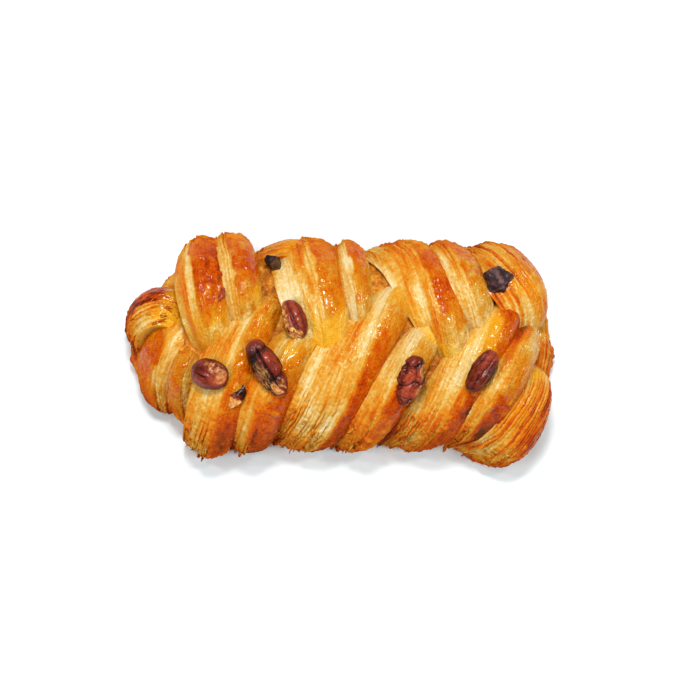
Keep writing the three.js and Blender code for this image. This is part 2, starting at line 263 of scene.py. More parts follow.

# %% [markdown]
# The cut face is a stack of dough sheets thinner than a millimetre. They could be painted on as stripes,
# but real sheets also stand in and out and part from each other, which shows at the outline. So each
# sheet gets its own height in the mesh, and slits open between the sheets where the dough has risen. Painted
# shade darkens the inside of the slits.

# %% How the sheets lie
SHEET_PITCH = 0.95
SLOW_BEND = {"sheets": 3.2, "length": 30, "depth": 12}
QUICK_BEND = {"length": 14, "depth": 5}


def sheet_levels(along, depth, seed):
    """Depth in sheets of one pitch, bent by slow hills and by quicker, rougher ones."""
    slow = hills(along / SLOW_BEND["length"], depth / SLOW_BEND["depth"], seed) - 0.5
    quick = rough_hills(along / QUICK_BEND["length"], depth / QUICK_BEND["depth"], seed + 1) - 0.5
    return depth / SHEET_PITCH + (SLOW_BEND["sheets"] * slow + quick)


test_along, test_across = np.linspace(0, 60, 200)[:, None], np.linspace(0, 12, 80)[None, :]
test_levels = sheet_levels(test_along, test_across, 5)
print("a cut face 12 mm deep has about", round(float(np.ptp(test_levels, axis=1).mean())), "sheets")

# %% Sheets on the cut face
LOOSE_ROOT = (0.55, 0.14)
ROOT_OPENING = 1.6
SLIT = {"depth": 0.45, "width": 0.55, "from": 0.78, "sooner_if_loose": 0.36, "ramp": 0.25}
DARK_RAMP = (0.62, 0.88)
MARK_LENGTH = {
    "own": 40, "streak": 16, "line": 16, "fibre": 7, "crinkle": 0.9, "wrinkle": 10, "slit": 18, "dark": 14,
}
MARK_DEPTH = {"fibre": 0.42, "crinkle": 0.7, "wrinkle": 5}
PER_SHEET = {"own": 1.37, "streak": 0.4, "line": 2.2, "slit": 2.71, "dark": 1.9}
FIBRE_SLANT = {"along": 0.05, "depth": 0.07}
RELIEF = {
    "tight": {"own": 0.3, "streak": 0.6, "line": 0.18, "fibre": 0.15, "crinkle": 0.35, "wrinkle": 1.0},
    "loose": {"own": 0.6, "streak": 0.5, "line": 0.35, "fibre": 0.22, "crinkle": 0.35, "wrinkle": 0.8},
}
TINT = {
    "tight": {"own": 0.08, "streak": 0.38, "line": 0.14, "fibre": 0.1, "crinkle": 0.14, "wrinkle": 0.44},
    "loose": {"own": 0.2, "streak": 0.38, "line": 0.28, "fibre": 0.16, "crinkle": 0.14, "wrinkle": 0.4},
}
DARK_TINT = {"tight": 0.08, "loose": 0.32}
# How much painted shade darkens a slit, for tight and loose sheets.
PAINTED_SLIT_SHADE = {"tight": 0.16, "loose": 0.48}


def cut_face(along, depth, t, layers, seed):
    """Depth below the ridge is cut into bent sheets. Each sheet has a height of its own, and a slit runs
    along its rim wherever hills drawn for it are high. Long thin hills follow the sheets as lines, shorter
    ones cross them at a slant as fibres, and round ones crinkle the whole face. The sheets are loose near
    the root, or all along where the layers show, and tight elsewhere. Returns the height, and how much
    browner than its surroundings each spot is, with painted shade darkening the slits."""
    run = {key: along / length for key, length in MARK_LENGTH.items()}
    level = sheet_levels(along, depth, seed)
    sheet = np.floor(level)
    rim = 2 * np.minimum(level - sheet, 1 - level + sheet)
    at_root = smooth(*LOOSE_ROOT, t)
    loose = np.maximum(at_root, layers)
    open_from = SLIT["from"] - SLIT["sooner_if_loose"] * loose
    risen = hills(run["slit"], sheet * PER_SHEET["slit"], seed + 3)
    slit = (1 - smooth(0, SLIT["width"], rim)) * smooth(open_from, open_from + SLIT["ramp"], risen)
    slanted = (depth - FIBRE_SLANT["along"] * along) / MARK_DEPTH["fibre"]
    marks = {
        "own": hills(run["own"], sheet * PER_SHEET["own"] + 0.5, seed + 2),
        "streak": hills(run["streak"], level * PER_SHEET["streak"], seed + 4),
        "line": hills(run["line"], level * PER_SHEET["line"], seed + 5),
        "fibre": hills(run["fibre"] + FIBRE_SLANT["depth"] * depth, slanted, seed + 6),
        "crinkle": hills(run["crinkle"], depth / MARK_DEPTH["crinkle"], seed + 7),
        "wrinkle": rough_hills(run["wrinkle"], depth / MARK_DEPTH["wrinkle"], seed + 8),
    }
    dark_line = smooth(*DARK_RAMP, hills(run["dark"], level * PER_SHEET["dark"], seed + 9))

    def between(pair):
        return pair["tight"] + (pair["loose"] - pair["tight"]) * loose

    def total(table):
        shares = {key: between({state: table[state][key] for state in table}) for key in marks}
        return sum(shares[key] * (marks[key] - 0.5) for key in marks)

    height = total(RELIEF) - SLIT["depth"] * slit
    # The slit term in the tint is painted shade inside the slits.
    tint = total(TINT) + between(DARK_TINT) * dark_line + between(PAINTED_SLIT_SHADE) * slit
    return (1 + ROOT_OPENING * at_root) * height, tint


test_height = cut_face(test_along, test_across, t=0.5, layers=0, seed=5)[0]
print("cut face stands in and out by", round(float(np.ptp(test_height)), 2), "mm")

# %% [markdown]
# The crust is the brushed side of the strip. Egg wash and steam leave it lumpy, with blisters in patches and
# small bubbles all over, and these catch the light. They are hills again, cut off below a height so that only
# round tops stand out.

# %% Blisters on the crust
CRUST = {"skin": 0.2, "blister": 0.7, "bubble": 0.35, "lump": 1.1}
CRUST_SIZE = {"patch": (13, 9), "blister": (2.3, 2.1), "bubble": (1.0, 0.9), "lump": (10, 7)}
BLISTER_PATCH = (0.35, 0.6)
DOME_START = {"blister": 0.55, "bubble": 0.62}


def dome(height, start):
    """A bubble's round top: the square root of the share by which a height passes its start."""
    return np.sqrt(np.clip((height - start) / (1 - start), 0, 1))


def crust_skin(along, girth, seed):
    """Lumps are rough hills. Blisters are domes on hills about 2 mm wide, in patches, and bubbles are domes
    on hills 1 mm wide. Returns the height and the share of blister."""
    at = {key: (along / length, girth / width) for key, (length, width) in CRUST_SIZE.items()}
    patch = smooth(*BLISTER_PATCH, hills(*at["patch"], seed))
    blister = dome(hills(*at["blister"], seed + 1), DOME_START["blister"]) * patch
    bubble = dome(hills(*at["bubble"], seed + 2), DOME_START["bubble"])
    lump = rough_hills(*at["lump"], seed + 3) - 0.5
    height = CRUST["skin"] + CRUST["blister"] * blister + CRUST["bubble"] * bubble + CRUST["lump"] * lump
    return height, blister


test_blister = crust_skin(test_along, test_across, seed=5)[1]
print("blisters cover", round(float((test_blister > 0.5).mean()) * 100), "percent of a crust")

# %% [markdown]
# The oven colours each strip by what shows: the cut face stays straw yellow, the brushed crust turns orange
# and then red-brown, and all of the dough is browner close to the board. That is one number per point, called
# bake. It could be painted by hand, but a formula keeps to the shape. A second number, glaze, says where the
# shiny glaze lies thick, and a third, pool, where it has gathered into a yellow film.

# %% How brown every point is
STATIONS = (0.1, 0.35, 0.6, 0.87)
BORDER = {"soft": 0.4, "softer_at_tip": 1.2, "tip": (0.6, 1), "wander": 2.0, "wander_length": 6}
MOTTLE = {"patch": 0.32, "fleck": 0.15, "blister": -0.16}
PATCH = {"length": 6, "width": 3.5, "octaves": 4}
FLECK = {"length": 1.6, "width": 1.1}
VALLEY_PALE = {1: 0.1, -1: -0.06}
VALLEY_RAMP = (0.4, 1)
SPOT_PATCHINESS = 2
POOL = {"length": 10, "width": 7, "ramp": (0.5, 0.72), "tip": (0.5, 0.9)}
GLAZE = {"face": 0.45, "crust": 1.0, "pool": 0.4, "root": (0.3, 0.56)}
UNDERSIDE_BAKE = 0.35


def browned(shape, part, t, along, girth, tint, blister, seed):
    """Bake of crust and cut face run in straight lines between values at four stations along the strip.
    A wandering border lies between them, softer towards the tip. Hills of two sizes mottle the crust, and
    each spot adds a bell of its own strength. A share of layers lets the sheets show on the crust too. The
    glaze is thin on the cut face, thick on the crust and in pools near the tip, and missing at the root."""
    crust, under = part["stretch"] == 1, part["stretch"] == 2
    wander = BORDER["wander"] * (rough_hills(along / BORDER["wander_length"], 0.5, seed) - 0.5)
    softness = shape.get("soft", BORDER["soft"]) + BORDER["softer_at_tip"] * smooth(*BORDER["tip"], t)
    on_crust = smooth(-softness, softness, girth - (wander - shape.get("spread", 0))) * ~under
    patch = rough_hills(along / PATCH["length"], girth / PATCH["width"], seed + 1, PATCH["octaves"]) - 0.5
    fleck = hills(along / FLECK["length"], girth / FLECK["width"], seed + 3) - 0.5
    mottle = MOTTLE["patch"] * patch + MOTTLE["fleck"] * fleck
    crust_bake = np.interp(t, STATIONS, shape["bake"]) + mottle + MOTTLE["blister"] * blister
    crust_bake = crust_bake - shape["valley_pale"] * smooth(*VALLEY_RAMP, part["place"] * crust)
    crust_bake = crust_bake + shape.get("layers", 0) * tint
    face_bake = np.interp(t, STATIONS, shape["pale"]) + tint
    bake = face_bake + (crust_bake - face_bake) * on_crust
    for at, across, length, width, change in shape.get("spots", ()):
        bell = np.exp(-(((along - at * along[-1]) / length) ** 2) - ((girth - across) / width) ** 2)
        bake = bake + change * bell * (1 + SPOT_PATCHINESS * patch)
    gathered = hills(along / POOL["length"], girth / POOL["width"], seed + 2)
    pool = smooth(*POOL["tip"], t) * smooth(*POOL["ramp"], gathered) * shape.get("pool", 1)
    glaze = GLAZE["face"] + (GLAZE["crust"] - GLAZE["face"]) * on_crust + GLAZE["pool"] * pool
    glaze = np.clip(glaze, 0, 1) * smooth(*GLAZE["root"], t)
    return {"bake": np.where(under, UNDERSIDE_BAKE, bake), "glaze": glaze, "pool": pool}


print("bake is set at shares", STATIONS, "of a strip")

# %% [markdown]
# Now a whole strip can be put together. Blender's Curve to Mesh could sweep the section, but it gives no
# relief or browning of its own to each point. Here every ring stands square to the ridge, the section on it
# is scaled and roughened, and what would sink below the board is pressed flat onto it.

# %% Relief of a strip
CRUST_GIRTH = 1.4
FACE_FADE = (0, 0.12)
SKIN_FADE = (0.75, 1)


def dough_relief(shape, part, t, length, flank_width, seed):
    """Height of sheets and blisters over the plain section, faded out at its feet, with the numbers that the
    finish reads. Girth counts from the ridge: it grows down the crust and is negative on the cut face."""
    along = t * length
    depth = -part["left"] * flank_width
    flank, crust = part["stretch"] == 0, part["stretch"] == 1
    girth = np.where(crust, CRUST_GIRTH * shape["crust"] * part["place"], -depth)
    face, tint = cut_face(along, -girth, t, shape.get("layers", 0), seed)
    skin, blister = crust_skin(along, girth, seed + 10)
    skin = skin + shape.get("layers", 0) * (face - skin)
    face = face * smooth(*FACE_FADE, part["place"])
    skin = skin * (1 - smooth(*SKIN_FADE, part["place"]))
    looks = browned(shape, part, t, along, girth, tint, blister, seed + 15)
    looks["grain"] = points_of(along, girth, 0 * t)
    return np.where(flank, face, np.where(crust, skin, 0)), looks


print("relief on the crust fades out from", SKIN_FADE[0], "of the way down")

# %% Carry a section along a ridge
STRIP_GRID = {"rings": 290, "flank": 76, "crust": 64, "under": 10}
LOBE_GRID = {"rings": 120, "flank": 56, "crust": 50, "under": 10}
END_CROWDING = 0.4
BOARD_TOAST = {"bake": 0.2, "height": 9}


def even_rings(rings):
    """Places along a strip, closer together near the round ends: a mix of a line and a cosine."""
    even = (np.arange(rings) + 0.5) / rings
    return (1 - END_CROWDING) * even + END_CROWDING * (0.5 - 0.5 * np.cos(np.pi * even))


def carried(shape, centre, side, grid, seed):
    """Points of a strip: the ridge point, plus the section's width across, plus its rise outwards.
    Outwards is away from the centre and square to the ridge; across is square to both."""
    t = even_rings(grid["rings"])
    ridge, along, length = ridge_curve(shape["handles"], t)
    out = ridge - centre(ridge)
    out -= along * (out * along).sum(axis=1, keepdims=True)
    out /= np.linalg.norm(out, axis=1, keepdims=True)
    across = side * np.cross(out, along)
    part = section(grid["flank"], grid["crust"], grid["under"])
    t = t[:, None]
    nose = rounded_end(t / shape["ends"]["root"]) * rounded_end((1 - t) / shape["ends"]["tip"])
    grown = smooth(0, ROOT["rise"], t)
    narrow = 1 - shape["taper"] * smooth(TIP["taper_start"], 1, t)
    belly = narrow * (1 + SECTION["belly"] * np.sin(np.pi * t))
    at_root, at_tip = shape["flank"]
    flank_width = at_root + (at_tip - at_root) * t + shape["flare"] * (1 - grown)
    width = belly * (flank_width * part["left"] + shape["crust"] * part["right"])
    height = shape["height"] * (shape["root_height"] + (1 - shape["root_height"]) * grown)
    relief, looks = dough_relief(shape, part, t, length, flank_width, seed)
    foot = SECTION["foot"]
    rise = -foot + (height + foot) * part["up"] - SECTION["sag"] * part["down"] + relief
    sunk = np.clip((t - TIP["sink_start"]) / (1 - TIP["sink_start"]), 0, 1) ** TIP["sink_power"]
    points = ridge[:, None, :] + (nose * width)[..., None] * across[:, None, :]
    points = points + (nose * rise - shape["sink"] * sunk)[..., None] * out[:, None, :]
    points[..., 2] = np.maximum(points[..., 2], 0)
    looks["bake"] = looks["bake"] + BOARD_TOAST["bake"] * smooth(BOARD_TOAST["height"], 0, points[..., 2])
    return points, looks


print("each strip has", STRIP_GRID["rings"], "rings")

# %% [markdown]
# The strips lie in pairs. Each line of the first table repeats one CAD strip: the side it comes from, the X
# of its ridge at root, shoulder, crown and tip, how far the tip passes the core, the widths of the cut face
# and the crust, and where it differs its bulge, drop, flare, sink and taper.
# The second table is new. It says how brown the crust and the cut face are at the four stations. Where a
# strip differs, it also says how far the crust's colour spreads past the ridge, how soft that border is, how
# pale the crust's valley is, how much glaze pools, how much the layers show on the crust, and which spots are
# darker or paler: each has its share along, its place across, its length, its width and its change.

# %% The courses of the fourteen strips
STRIPS = {
    "far_1": dict(side=1, ridge=(-50, -50.5, -51, -40), reach=11, flank=(3, 10), crust=9.5,
                  bulge=0.8, flare=2.5, sink=6),
    "far_2": dict(side=1, ridge=(-41.5, -40.5, -36.5, -31), reach=4, flank=(6.5, 6.5), crust=8,
                  bulge=2.2, taper=0.1),
    "near_1": dict(side=-1, ridge=(-47.5, -47, -39, -18), reach=23, flank=(6, 12), crust=8,
                   bulge=4, flare=0.5, sink=11, taper=0.3),
    "near_2": dict(side=-1, ridge=(-33.5, -33, -26, -5), reach=10, flank=(7, 7), crust=8, bulge=1.7, flare=4),
    "far_3": dict(side=1, ridge=(-14.5, -9.5, -6, -0.5), reach=17, flank=(12.5, 12), crust=8.5,
                  bulge=1.8, flare=6.5),
    "far_4": dict(side=1, ridge=(-1, 2.5, 4.5, 9), reach=6, flank=(5, 5), crust=6),
    "near_3": dict(side=-1, ridge=(-14, -7, 8, 25), reach=25, flank=(14, 12.5), crust=7.5,
                   bulge=0.7, flare=2),
    "near_4": dict(side=-1, ridge=(0.5, 8, 19, 36), reach=12, flank=(6, 6), crust=7.5),
    "far_5": dict(side=1, ridge=(14, 27, 37, 42), reach=18, flank=(13, 8), crust=8, bulge=1.1),
    "far_6": dict(side=1, ridge=(28.5, 37, 45, 52), reach=4, flank=(6.5, 8.5), crust=8),
    "near_5": dict(side=-1, ridge=(22.5, 34, 49, 62), reach=23, flank=(12.5, 6.5), crust=7.5, bulge=-0.4),
    "near_6": dict(side=-1, ridge=(36.5, 44.5, 54, 68), reach=10, flank=(6.5, 6.5), crust=9,
                   bulge=-3, flare=1),
    "far_7": dict(side=1, ridge=(42, 54, 69, 69), reach=-1, flank=(11, 14), crust=8, drop=1),
    "near_7": dict(side=-1, ridge=(45, 60, 69, 71), reach=-6, flank=(9, 9), crust=7.5,
                   bulge=3.3, drop=7, flare=0),
}
print("strips from the far side:", sum(strip["side"] == 1 for strip in STRIPS.values()), "of", len(STRIPS))

# %% Their browning
STRIP_LOOKS = {
    "far_1": dict(bake=(0.78, 0.65, 0.78, 0.34), pale=(0.36, 0.28, 0.33, 0.37), spread=2, valley_pale=0.42,
                  pool=0.4),
    "far_2": dict(bake=(0.7, 0.56, 0.66, 0.22), pale=(0.48, 0.5, 0.41, 0.42), spread=0.3),
    "near_1": dict(bake=(0.8, 0.76, 0.54, 0.53), pale=(0.5, 0.39, 0.32, 0.2), soft=1.4, spread=0.4, pool=0.2,
                   spots=[(0.7, -9.8, 13, 1.8, 0.3)]),
    "near_2": dict(bake=(0.8, 0.78, 0.59, 0.31), pale=(0.52, 0.36, 0.38, 0.3), soft=1.2, spread=0.4),
    "far_3": dict(bake=(0.66, 0.56, 0.52, 0.27), pale=(0.42, 0.45, 0.16, 0.3), spread=0.7),
    "far_4": dict(bake=(0.72, 0.62, 0.54, 0.2), pale=(0.42, 0.36, 0.22, 0.1), valley_pale=0.35),
    "near_3": dict(bake=(0.8, 0.76, 0.63, 0.42), pale=(0.49, 0.31, 0.3, 0.18), soft=1.4, spread=-0.8,
                   pool=0.4, spots=[(0.5, -12, 9, 2.6, -0.34)]),
    "near_4": dict(bake=(0.76, 0.6, 0.74, 0.2), pale=(0.53, 0.43, 0.38, 0.18), soft=1.2),
    "far_5": dict(bake=(0.7, 0.49, 0.68, 0.18), pale=(0.2, 0.28, 0.22, 0.38), spread=1.4),
    "far_6": dict(bake=(0.7, 0.58, 0.54, 0.12), pale=(0.42, 0.38, 0.2, 0.08), spread=0.3),
    # near_5's spot is a darker core of its crust, partly painted shadow cast by pecan_5.
    "near_5": dict(bake=(0.8, 0.68, 0.62, 0.62), pale=(0.44, 0.34, 0.26, 0.14), soft=1.8, spread=0.6,
                   spots=[(0.48, 3.5, 13, 3, 0.18)]),
    "near_6": dict(bake=(0.82, 0.85, 0.51, 0.34), pale=(0.42, 0.38, 0.3, 0.74), spread=-1.2, soft=1.2,
                   spots=[(0.4, 3.5, 12, 3.5, 0.1)]),
    "far_7": dict(bake=(0.52, 0.48, 0.54, 0.56), pale=(0.38, 0.3, 0.36, 0.3), layers=0.45),
    "near_7": dict(bake=(0.64, 0.56, 0.52, 0.46), pale=(0.5, 0.5, 0.34, 0.4), layers=0.9),
}
brownest = max(STRIP_LOOKS, key=lambda name: max(STRIP_LOOKS[name]["bake"]))
print("the brownest strip is", brownest)

# %% The fourteen strips
DOUGH_SEEDS = 100


def spine(points):
    """Inner point that a strip faces away from: on the middle line, no nearer the ends than the spine."""
    x = np.clip(points[:, 0], SPINE["from"], SPINE["to"])
    return points_of(x, axis_y(points[:, 0]), SPINE["z"])


dough_pieces = []
finished_rings = {}
for number, (name, strip) in enumerate(STRIPS.items()):
    side = strip["side"]
    course = {key: strip[key] for key in ("side", "ridge", "reach", "bulge", "drop") if key in strip}
    shape = dict(
        height=SECTION["height"], ends=STRIP_ENDS, root_height=ROOT["height"], flare=ROOT["flare"],
        sink=TIP_SINK[side], taper=TIP_TAPER[side], valley_pale=VALLEY_PALE[side],
    )
    shape.update(strip, handles=strip_handles(**course))
    shape.update(STRIP_LOOKS[name])
    rings, looks = carried(shape, spine, side, STRIP_GRID, DOUGH_SEEDS * number)
    finished_rings[name] = rings, looks["bake"]
    dough_pieces.append(ring_piece(name, rings, **looks))
print("strips:", len(dough_pieces), "of", len(dough_pieces[0].data.polygons), "faces each")

# %% [markdown]
# Short lobes of dough close both ends of the loaf, and one is a lip between two strips of the far side. They
# are made like the strips, only with their handles given outright, because they follow no common path.

# %% The short lobes
LOBE_CENTRE = {"y": -1.7, "z": 4}
LOBE_ENDS = {"root": 0.2, "tip": 0.1}
LOBE_SINK = 2
LOBE_SEED = 2000
LOBES = {
    "end_far": dict(handles=[(-69.5, 2.3, 1), (-73, 13, 17), (-64.5, 17, 21), (-52, 11.3, 18)],
                    centre_x=-48, flank=(9, 9), crust=6, height=5, spread=3, layers=0.6,
                    bake=(0.9, 0.85, 0.8, 0.6), pale=(0.5, 0.42, 0.36, 0.36)),
    "end_near": dict(handles=[(-60, -20.7, 0), (-65, -13.7, 17), (-59, -1.7, 22), (-51, 9.3, 19)],
                     centre_x=-48, flank=(8.5, 6), crust=10, height=5,
                     bake=(0.8, 0.58, 0.66, 0.52), pale=(0.46, 0.24, 0.36, 0.34)),
    "end_low": dict(handles=[(-51.5, -25.2, 0), (-56, -19.5, 20), (-54, -12, 27), (-50, -4, 22)],
                    centre_x=-48, flank=(5, 5), crust=5, height=4, pool=0,
                    bake=(0.62, 0.52, 0.56, 0.5), pale=(0.45, 0.32, 0.32, 0.34)),
    "end_back": dict(handles=[(-53, 27, 0), (-61, 22, 10), (-62, 13, 14), (-60, 4, 10)],
                     centre_x=-48, flank=(5, 5), crust=5, height=4,
                     bake=(0.6, 0.45, 0.5, 0.5), pale=(0.45, 0.38, 0.35, 0.3)),
    "end_right": dict(handles=[(61, -24, 2), (72, -12, 14), (72.5, 10, 15), (64, 22, 8)],
                      centre_x=56, flank=(7, 7), crust=5, height=4, layers=0.9,
                      bake=(0.48, 0.42, 0.42, 0.48), pale=(0.38, 0.33, 0.33, 0.36)),
    "far_lip": dict(handles=[(-31, 28, 6), (-27, 33.5, 15.5), (-19, 34, 19.5), (-8, 33.5, 19.5)],
                    centre_x=-20, flank=(6, 6), crust=8, height=3, layers=0.7,
                    bake=(0.6, 0.56, 0.56, 0.6), pale=(0.56, 0.48, 0.46, 0.5)),
}

for number, (name, lobe) in enumerate(LOBES.items()):
    inner = np.array([lobe["centre_x"], LOBE_CENTRE["y"], LOBE_CENTRE["z"]])
    shape = dict(lobe, handles=np.array(lobe["handles"], float), ends=LOBE_ENDS, sink=LOBE_SINK)
    shape.update(taper=0, root_height=1, flare=0, valley_pale=0)
    rings, looks = carried(shape, lambda points: inner, 1, LOBE_GRID, LOBE_SEED + DOUGH_SEEDS * number)
    finished_rings[name] = rings, looks["bake"]
    dough_pieces.append(ring_piece(name, rings, **looks))
print("dough pieces so far:", len(dough_pieces))

# %% [markdown]
# The uncut middle of the dough sheet is the base. It carries the strips, and shows at most as a thin golden
# lip where they leave it bare. A bevelled cube would do for a flat tray, but this rim is ragged. So it is a
# profile from the middle of the underside, round the rim and back to the middle of the top, carried round a
# squarish oval.

# %% The base
BASE = {"x": 1, "y": -1.3, "half_length": 74, "half_width": 32, "thickness": 9, "bevel": 3}
BASE_SQUARENESS = 2.25
BASE_FLAT = 0.97
BASE_GRID = {"inside": 8, "rim": 36, "around": 480}
BASE_SHEETS = {"t": 0.3, "layers": 0.5}
BASE_EDGE = 1.5
BASE_BAKE = {"rim": 0.42, "board": 0.2, "height": 2}
BASE_GLAZE = 0.2
BASE_SEED = 3000


def base_profile(inside, rim):
    """Share of the way out, inset from the outline and height, from the underside's middle out, up the
    rim as a half circle and back in."""
    step = np.arange(1, inside + 1) / inside * BASE_FLAT
    turn = np.linspace(-np.pi / 2, np.pi / 2, rim)
    half = BASE["thickness"] / 2
    flat_inset = np.full(inside, BASE["bevel"])
    share = np.concatenate([step, np.ones(rim), step[::-1]])
    inset = np.concatenate([flat_inset, BASE["bevel"] * (1 - np.cos(turn)), flat_inset])
    rim_height = half + half * np.sin(turn)
    height = np.concatenate([np.zeros(inside), rim_height, np.full(inside, BASE["thickness"])])
    return share[:, None], inset[:, None], height[:, None]


def squarish(wave):
    """A sine or cosine raised to 2 over the squareness, with its sign kept, which squares off an oval."""
    return np.sign(wave) * np.abs(wave) ** (2 / BASE_SQUARENESS)


share, inset, height = base_profile(BASE_GRID["inside"], BASE_GRID["rim"])
angle = np.arange(BASE_GRID["around"]) / BASE_GRID["around"] * 2 * np.pi
rim_run = angle * BASE["half_length"]
face, tint = cut_face(rim_run[None, :], height, BASE_SHEETS["t"], BASE_SHEETS["layers"], BASE_SEED)
on_rim = smooth(0, BASE_EDGE, height) * smooth(0, BASE_EDGE, BASE["thickness"] - height) * (share == 1)
outwards = on_rim * face - inset
base_x = BASE["x"] + share * (BASE["half_length"] + outwards) * squarish(np.cos(angle))
base_y = BASE["y"] + axis_y(base_x) + share * (BASE["half_width"] + outwards) * squarish(np.sin(angle))
base_bake = BASE_BAKE["rim"] + tint + BASE_BAKE["board"] * smooth(BASE_BAKE["height"], 0, height)
dough_pieces.append(ring_piece(
    "base", points_of(base_x, base_y, height), bake=base_bake, glaze=np.full_like(base_x, BASE_GLAZE),
    pool=np.zeros_like(base_x), grain=points_of(rim_run, height, 0),
))
print("base:", len(dough_pieces[-1].data.polygons), "faces")

# %% [markdown]
# Where the strips bend down to the board, the sheets come apart and thin flakes peel off. Hair particles or
# instances would be quick to scatter, but a plain joined mesh keeps its form everywhere. Each flake is a
# short stack of four-cornered rings that starts on a spot of the dough and lifts off at its free end.

# %% One batch of peeling flakes
FLAKE = {"long": (1.5, 4), "wide": (0.6, 1.3), "lift": (0.1, 1.0), "thick": 0.16, "sunk": 0.15, "rings": 6}
FLAKE_TURN = 0.22
FLAKE_RAGGED = 0.5
FLAKE_WIDTH_SPAN = {"from": 0.1, "by": 0.82}
FLAKE_TOAST = {"spread": 0.12, "range": (0.3, 0.7)}
FLAKE_LOWEST = 1


def unit(vectors):
    """Vectors made one long."""
    return vectors / np.linalg.norm(vectors, axis=-1, keepdims=True)


def flakes_on(rings, bake, share, columns, count, seed):
    """Draws spots on a stretch of rings. A flake runs from its spot by length times u, u from 0 to 1, turned
    a little from the strip's own direction, lifts off by lift times u^2 and is as wide as the root of
    sin(pi u), with a little cut off both ends. Flakes that come too near the board are dropped."""
    draw = np.random.default_rng(seed)
    ring = (draw.uniform(*share, count) * len(rings)).astype(int).clip(1, len(rings) - 2)
    column = draw.integers(2, columns - 2, count)
    spot = rings[ring, column]
    along = unit(rings[ring + 1, column] - rings[ring - 1, column])
    out = unit(np.cross(along, rings[ring, column + 1] - rings[ring, column - 1]))
    out = out * np.sign((out * (spot - rings[ring].mean(axis=1))).sum(axis=-1, keepdims=True))
    turn = draw.normal(0, FLAKE_TURN, (count, 1)) + np.pi * draw.integers(0, 2, (count, 1))
    heading = along * np.cos(turn) + np.cross(out, along) * np.sin(turn)
    side = np.cross(out, heading)
    long, wide, lift = (draw.uniform(*FLAKE[key], (count, 1, 1)) for key in ("long", "wide", "lift"))
    u = np.linspace(0, 1, FLAKE["rings"])[None, :, None]
    line = spot[:, None] + heading[:, None] * long * u + out[:, None] * (lift * u**2 - FLAKE["sunk"])
    ragged = 1 + FLAKE_RAGGED * (draw.random((count, FLAKE["rings"], 1)) - 0.5)
    leaf = np.sqrt(np.sin(np.pi * (FLAKE_WIDTH_SPAN["from"] + FLAKE_WIDTH_SPAN["by"] * u)))
    half_side = side[:, None] * wide / 2 * leaf * ragged
    half_out = out[:, None] * FLAKE["thick"] / 2 + 0 * u
    corners = np.stack([line - half_side, line + half_out, line + half_side, line - half_out], axis=2)
    toast = bake[ring, column] + draw.uniform(-FLAKE_TOAST["spread"], FLAKE_TOAST["spread"], count)
    clear = corners[..., 2].min(axis=(1, 2)) > FLAKE_LOWEST
    return corners[clear], np.clip(toast, *FLAKE_TOAST["range"])[clear]


print("a flake is", FLAKE["long"], "mm long and", FLAKE["thick"], "mm thick")

# %% All the flakes as one piece
FLAKE_SHARE = {"strip": (0.05, 0.36), "lobe": (0.1, 0.85)}
FLAKE_COUNT = {"strip": 70, "lobe": 30}
FLAKE_GLAZE = 0.2
FLAKE_SEED = 3050
FLAKY = [name for name in STRIPS if name.startswith("near")] + ["end_far", "end_right"]

batches = []
for number, name in enumerate(FLAKY):
    kind, grid = ("lobe", LOBE_GRID) if name in LOBES else ("strip", STRIP_GRID)
    batches.append(flakes_on(
        *finished_rings[name], FLAKE_SHARE[kind], grid["flank"], FLAKE_COUNT[kind], FLAKE_SEED + number))
corners, toast = (np.concatenate(lists) for lists in zip(*batches))
flake_ends = np.stack([corners[:, 0].mean(axis=1), corners[:, -1].mean(axis=1)], axis=1)
flake_points = np.concatenate([corners.reshape(len(corners), -1, 3), flake_ends], axis=1)
per_flake = flake_points.shape[1]
offsets = per_flake * np.arange(len(corners))[:, None, None]
quads, triangles = (faces[None] + offsets for faces in ring_faces(FLAKE["rings"], 4))
flake_points = flake_points.reshape(-1, 3)
flake_bake = np.repeat(toast, per_flake)[:, None]
flake_looks = {"bake": flake_bake, "glaze": np.full_like(flake_bake, FLAKE_GLAZE),
               "pool": np.zeros_like(flake_bake), "grain": flake_points}
dough_pieces.append(mesh_piece(
    "flakes", flake_points, quads.reshape(-1, 4), triangles.reshape(-1, 3), flake_looks))
print("flakes:", len(corners))

# %% [markdown]
# The filling is a moist, grainy paste of sugar and nuts that shows in the gaps between the strips. Scattered
# grains would be many pieces for what hardly shows, so they are relief on a rounded loaf: a ball whose
# coordinates are pushed outwards by a power below one.

# %% The filling
FILLING_GRID = {"rings": 320, "columns": 150}
PASTE_GRAIN = {"height": 0.9, "size": 1.5, "octaves": 3}
PASTE_LUMP = {"height": 1.2, "size": 5, "octaves": 2}
PASTE_TOP = (0, 0.4)
FILLING_SEED = 3100


def pushed(value):
    """Keeps the sign and raises the size to the power that squares off the loaf."""
    return np.sign(value) * np.abs(value) ** FILLING["squareness"]


t, around = ring_grid(**FILLING_GRID)
half_length, half_width, half_height = FILLING["half"]
reach = pushed(np.sin(np.pi * t))
paste_x = FILLING["x"] - half_length * pushed(np.cos(np.pi * t)) + 0 * around
paste_y = axis_y(paste_x) + half_width * reach * pushed(np.cos(around))
crumbly, lumpy = (
    rough_hills(paste_x / kind["size"], paste_y / kind["size"], seed, kind["octaves"])
    for kind, seed in ((PASTE_GRAIN, FILLING_SEED), (PASTE_LUMP, FILLING_SEED + 9))
)
relief = PASTE_GRAIN["height"] * (crumbly - 0.5) + PASTE_LUMP["height"] * (lumpy - 0.5)
on_top = smooth(*PASTE_TOP, np.sin(around))
paste_z = FILLING["z"] + half_height * reach * pushed(np.sin(around)) + relief * on_top
filling = ring_piece("filling_paste", points_of(paste_x, paste_y, paste_z), crumbly=crumbly)
print("filling:", len(filling.data.polygons), "faces")
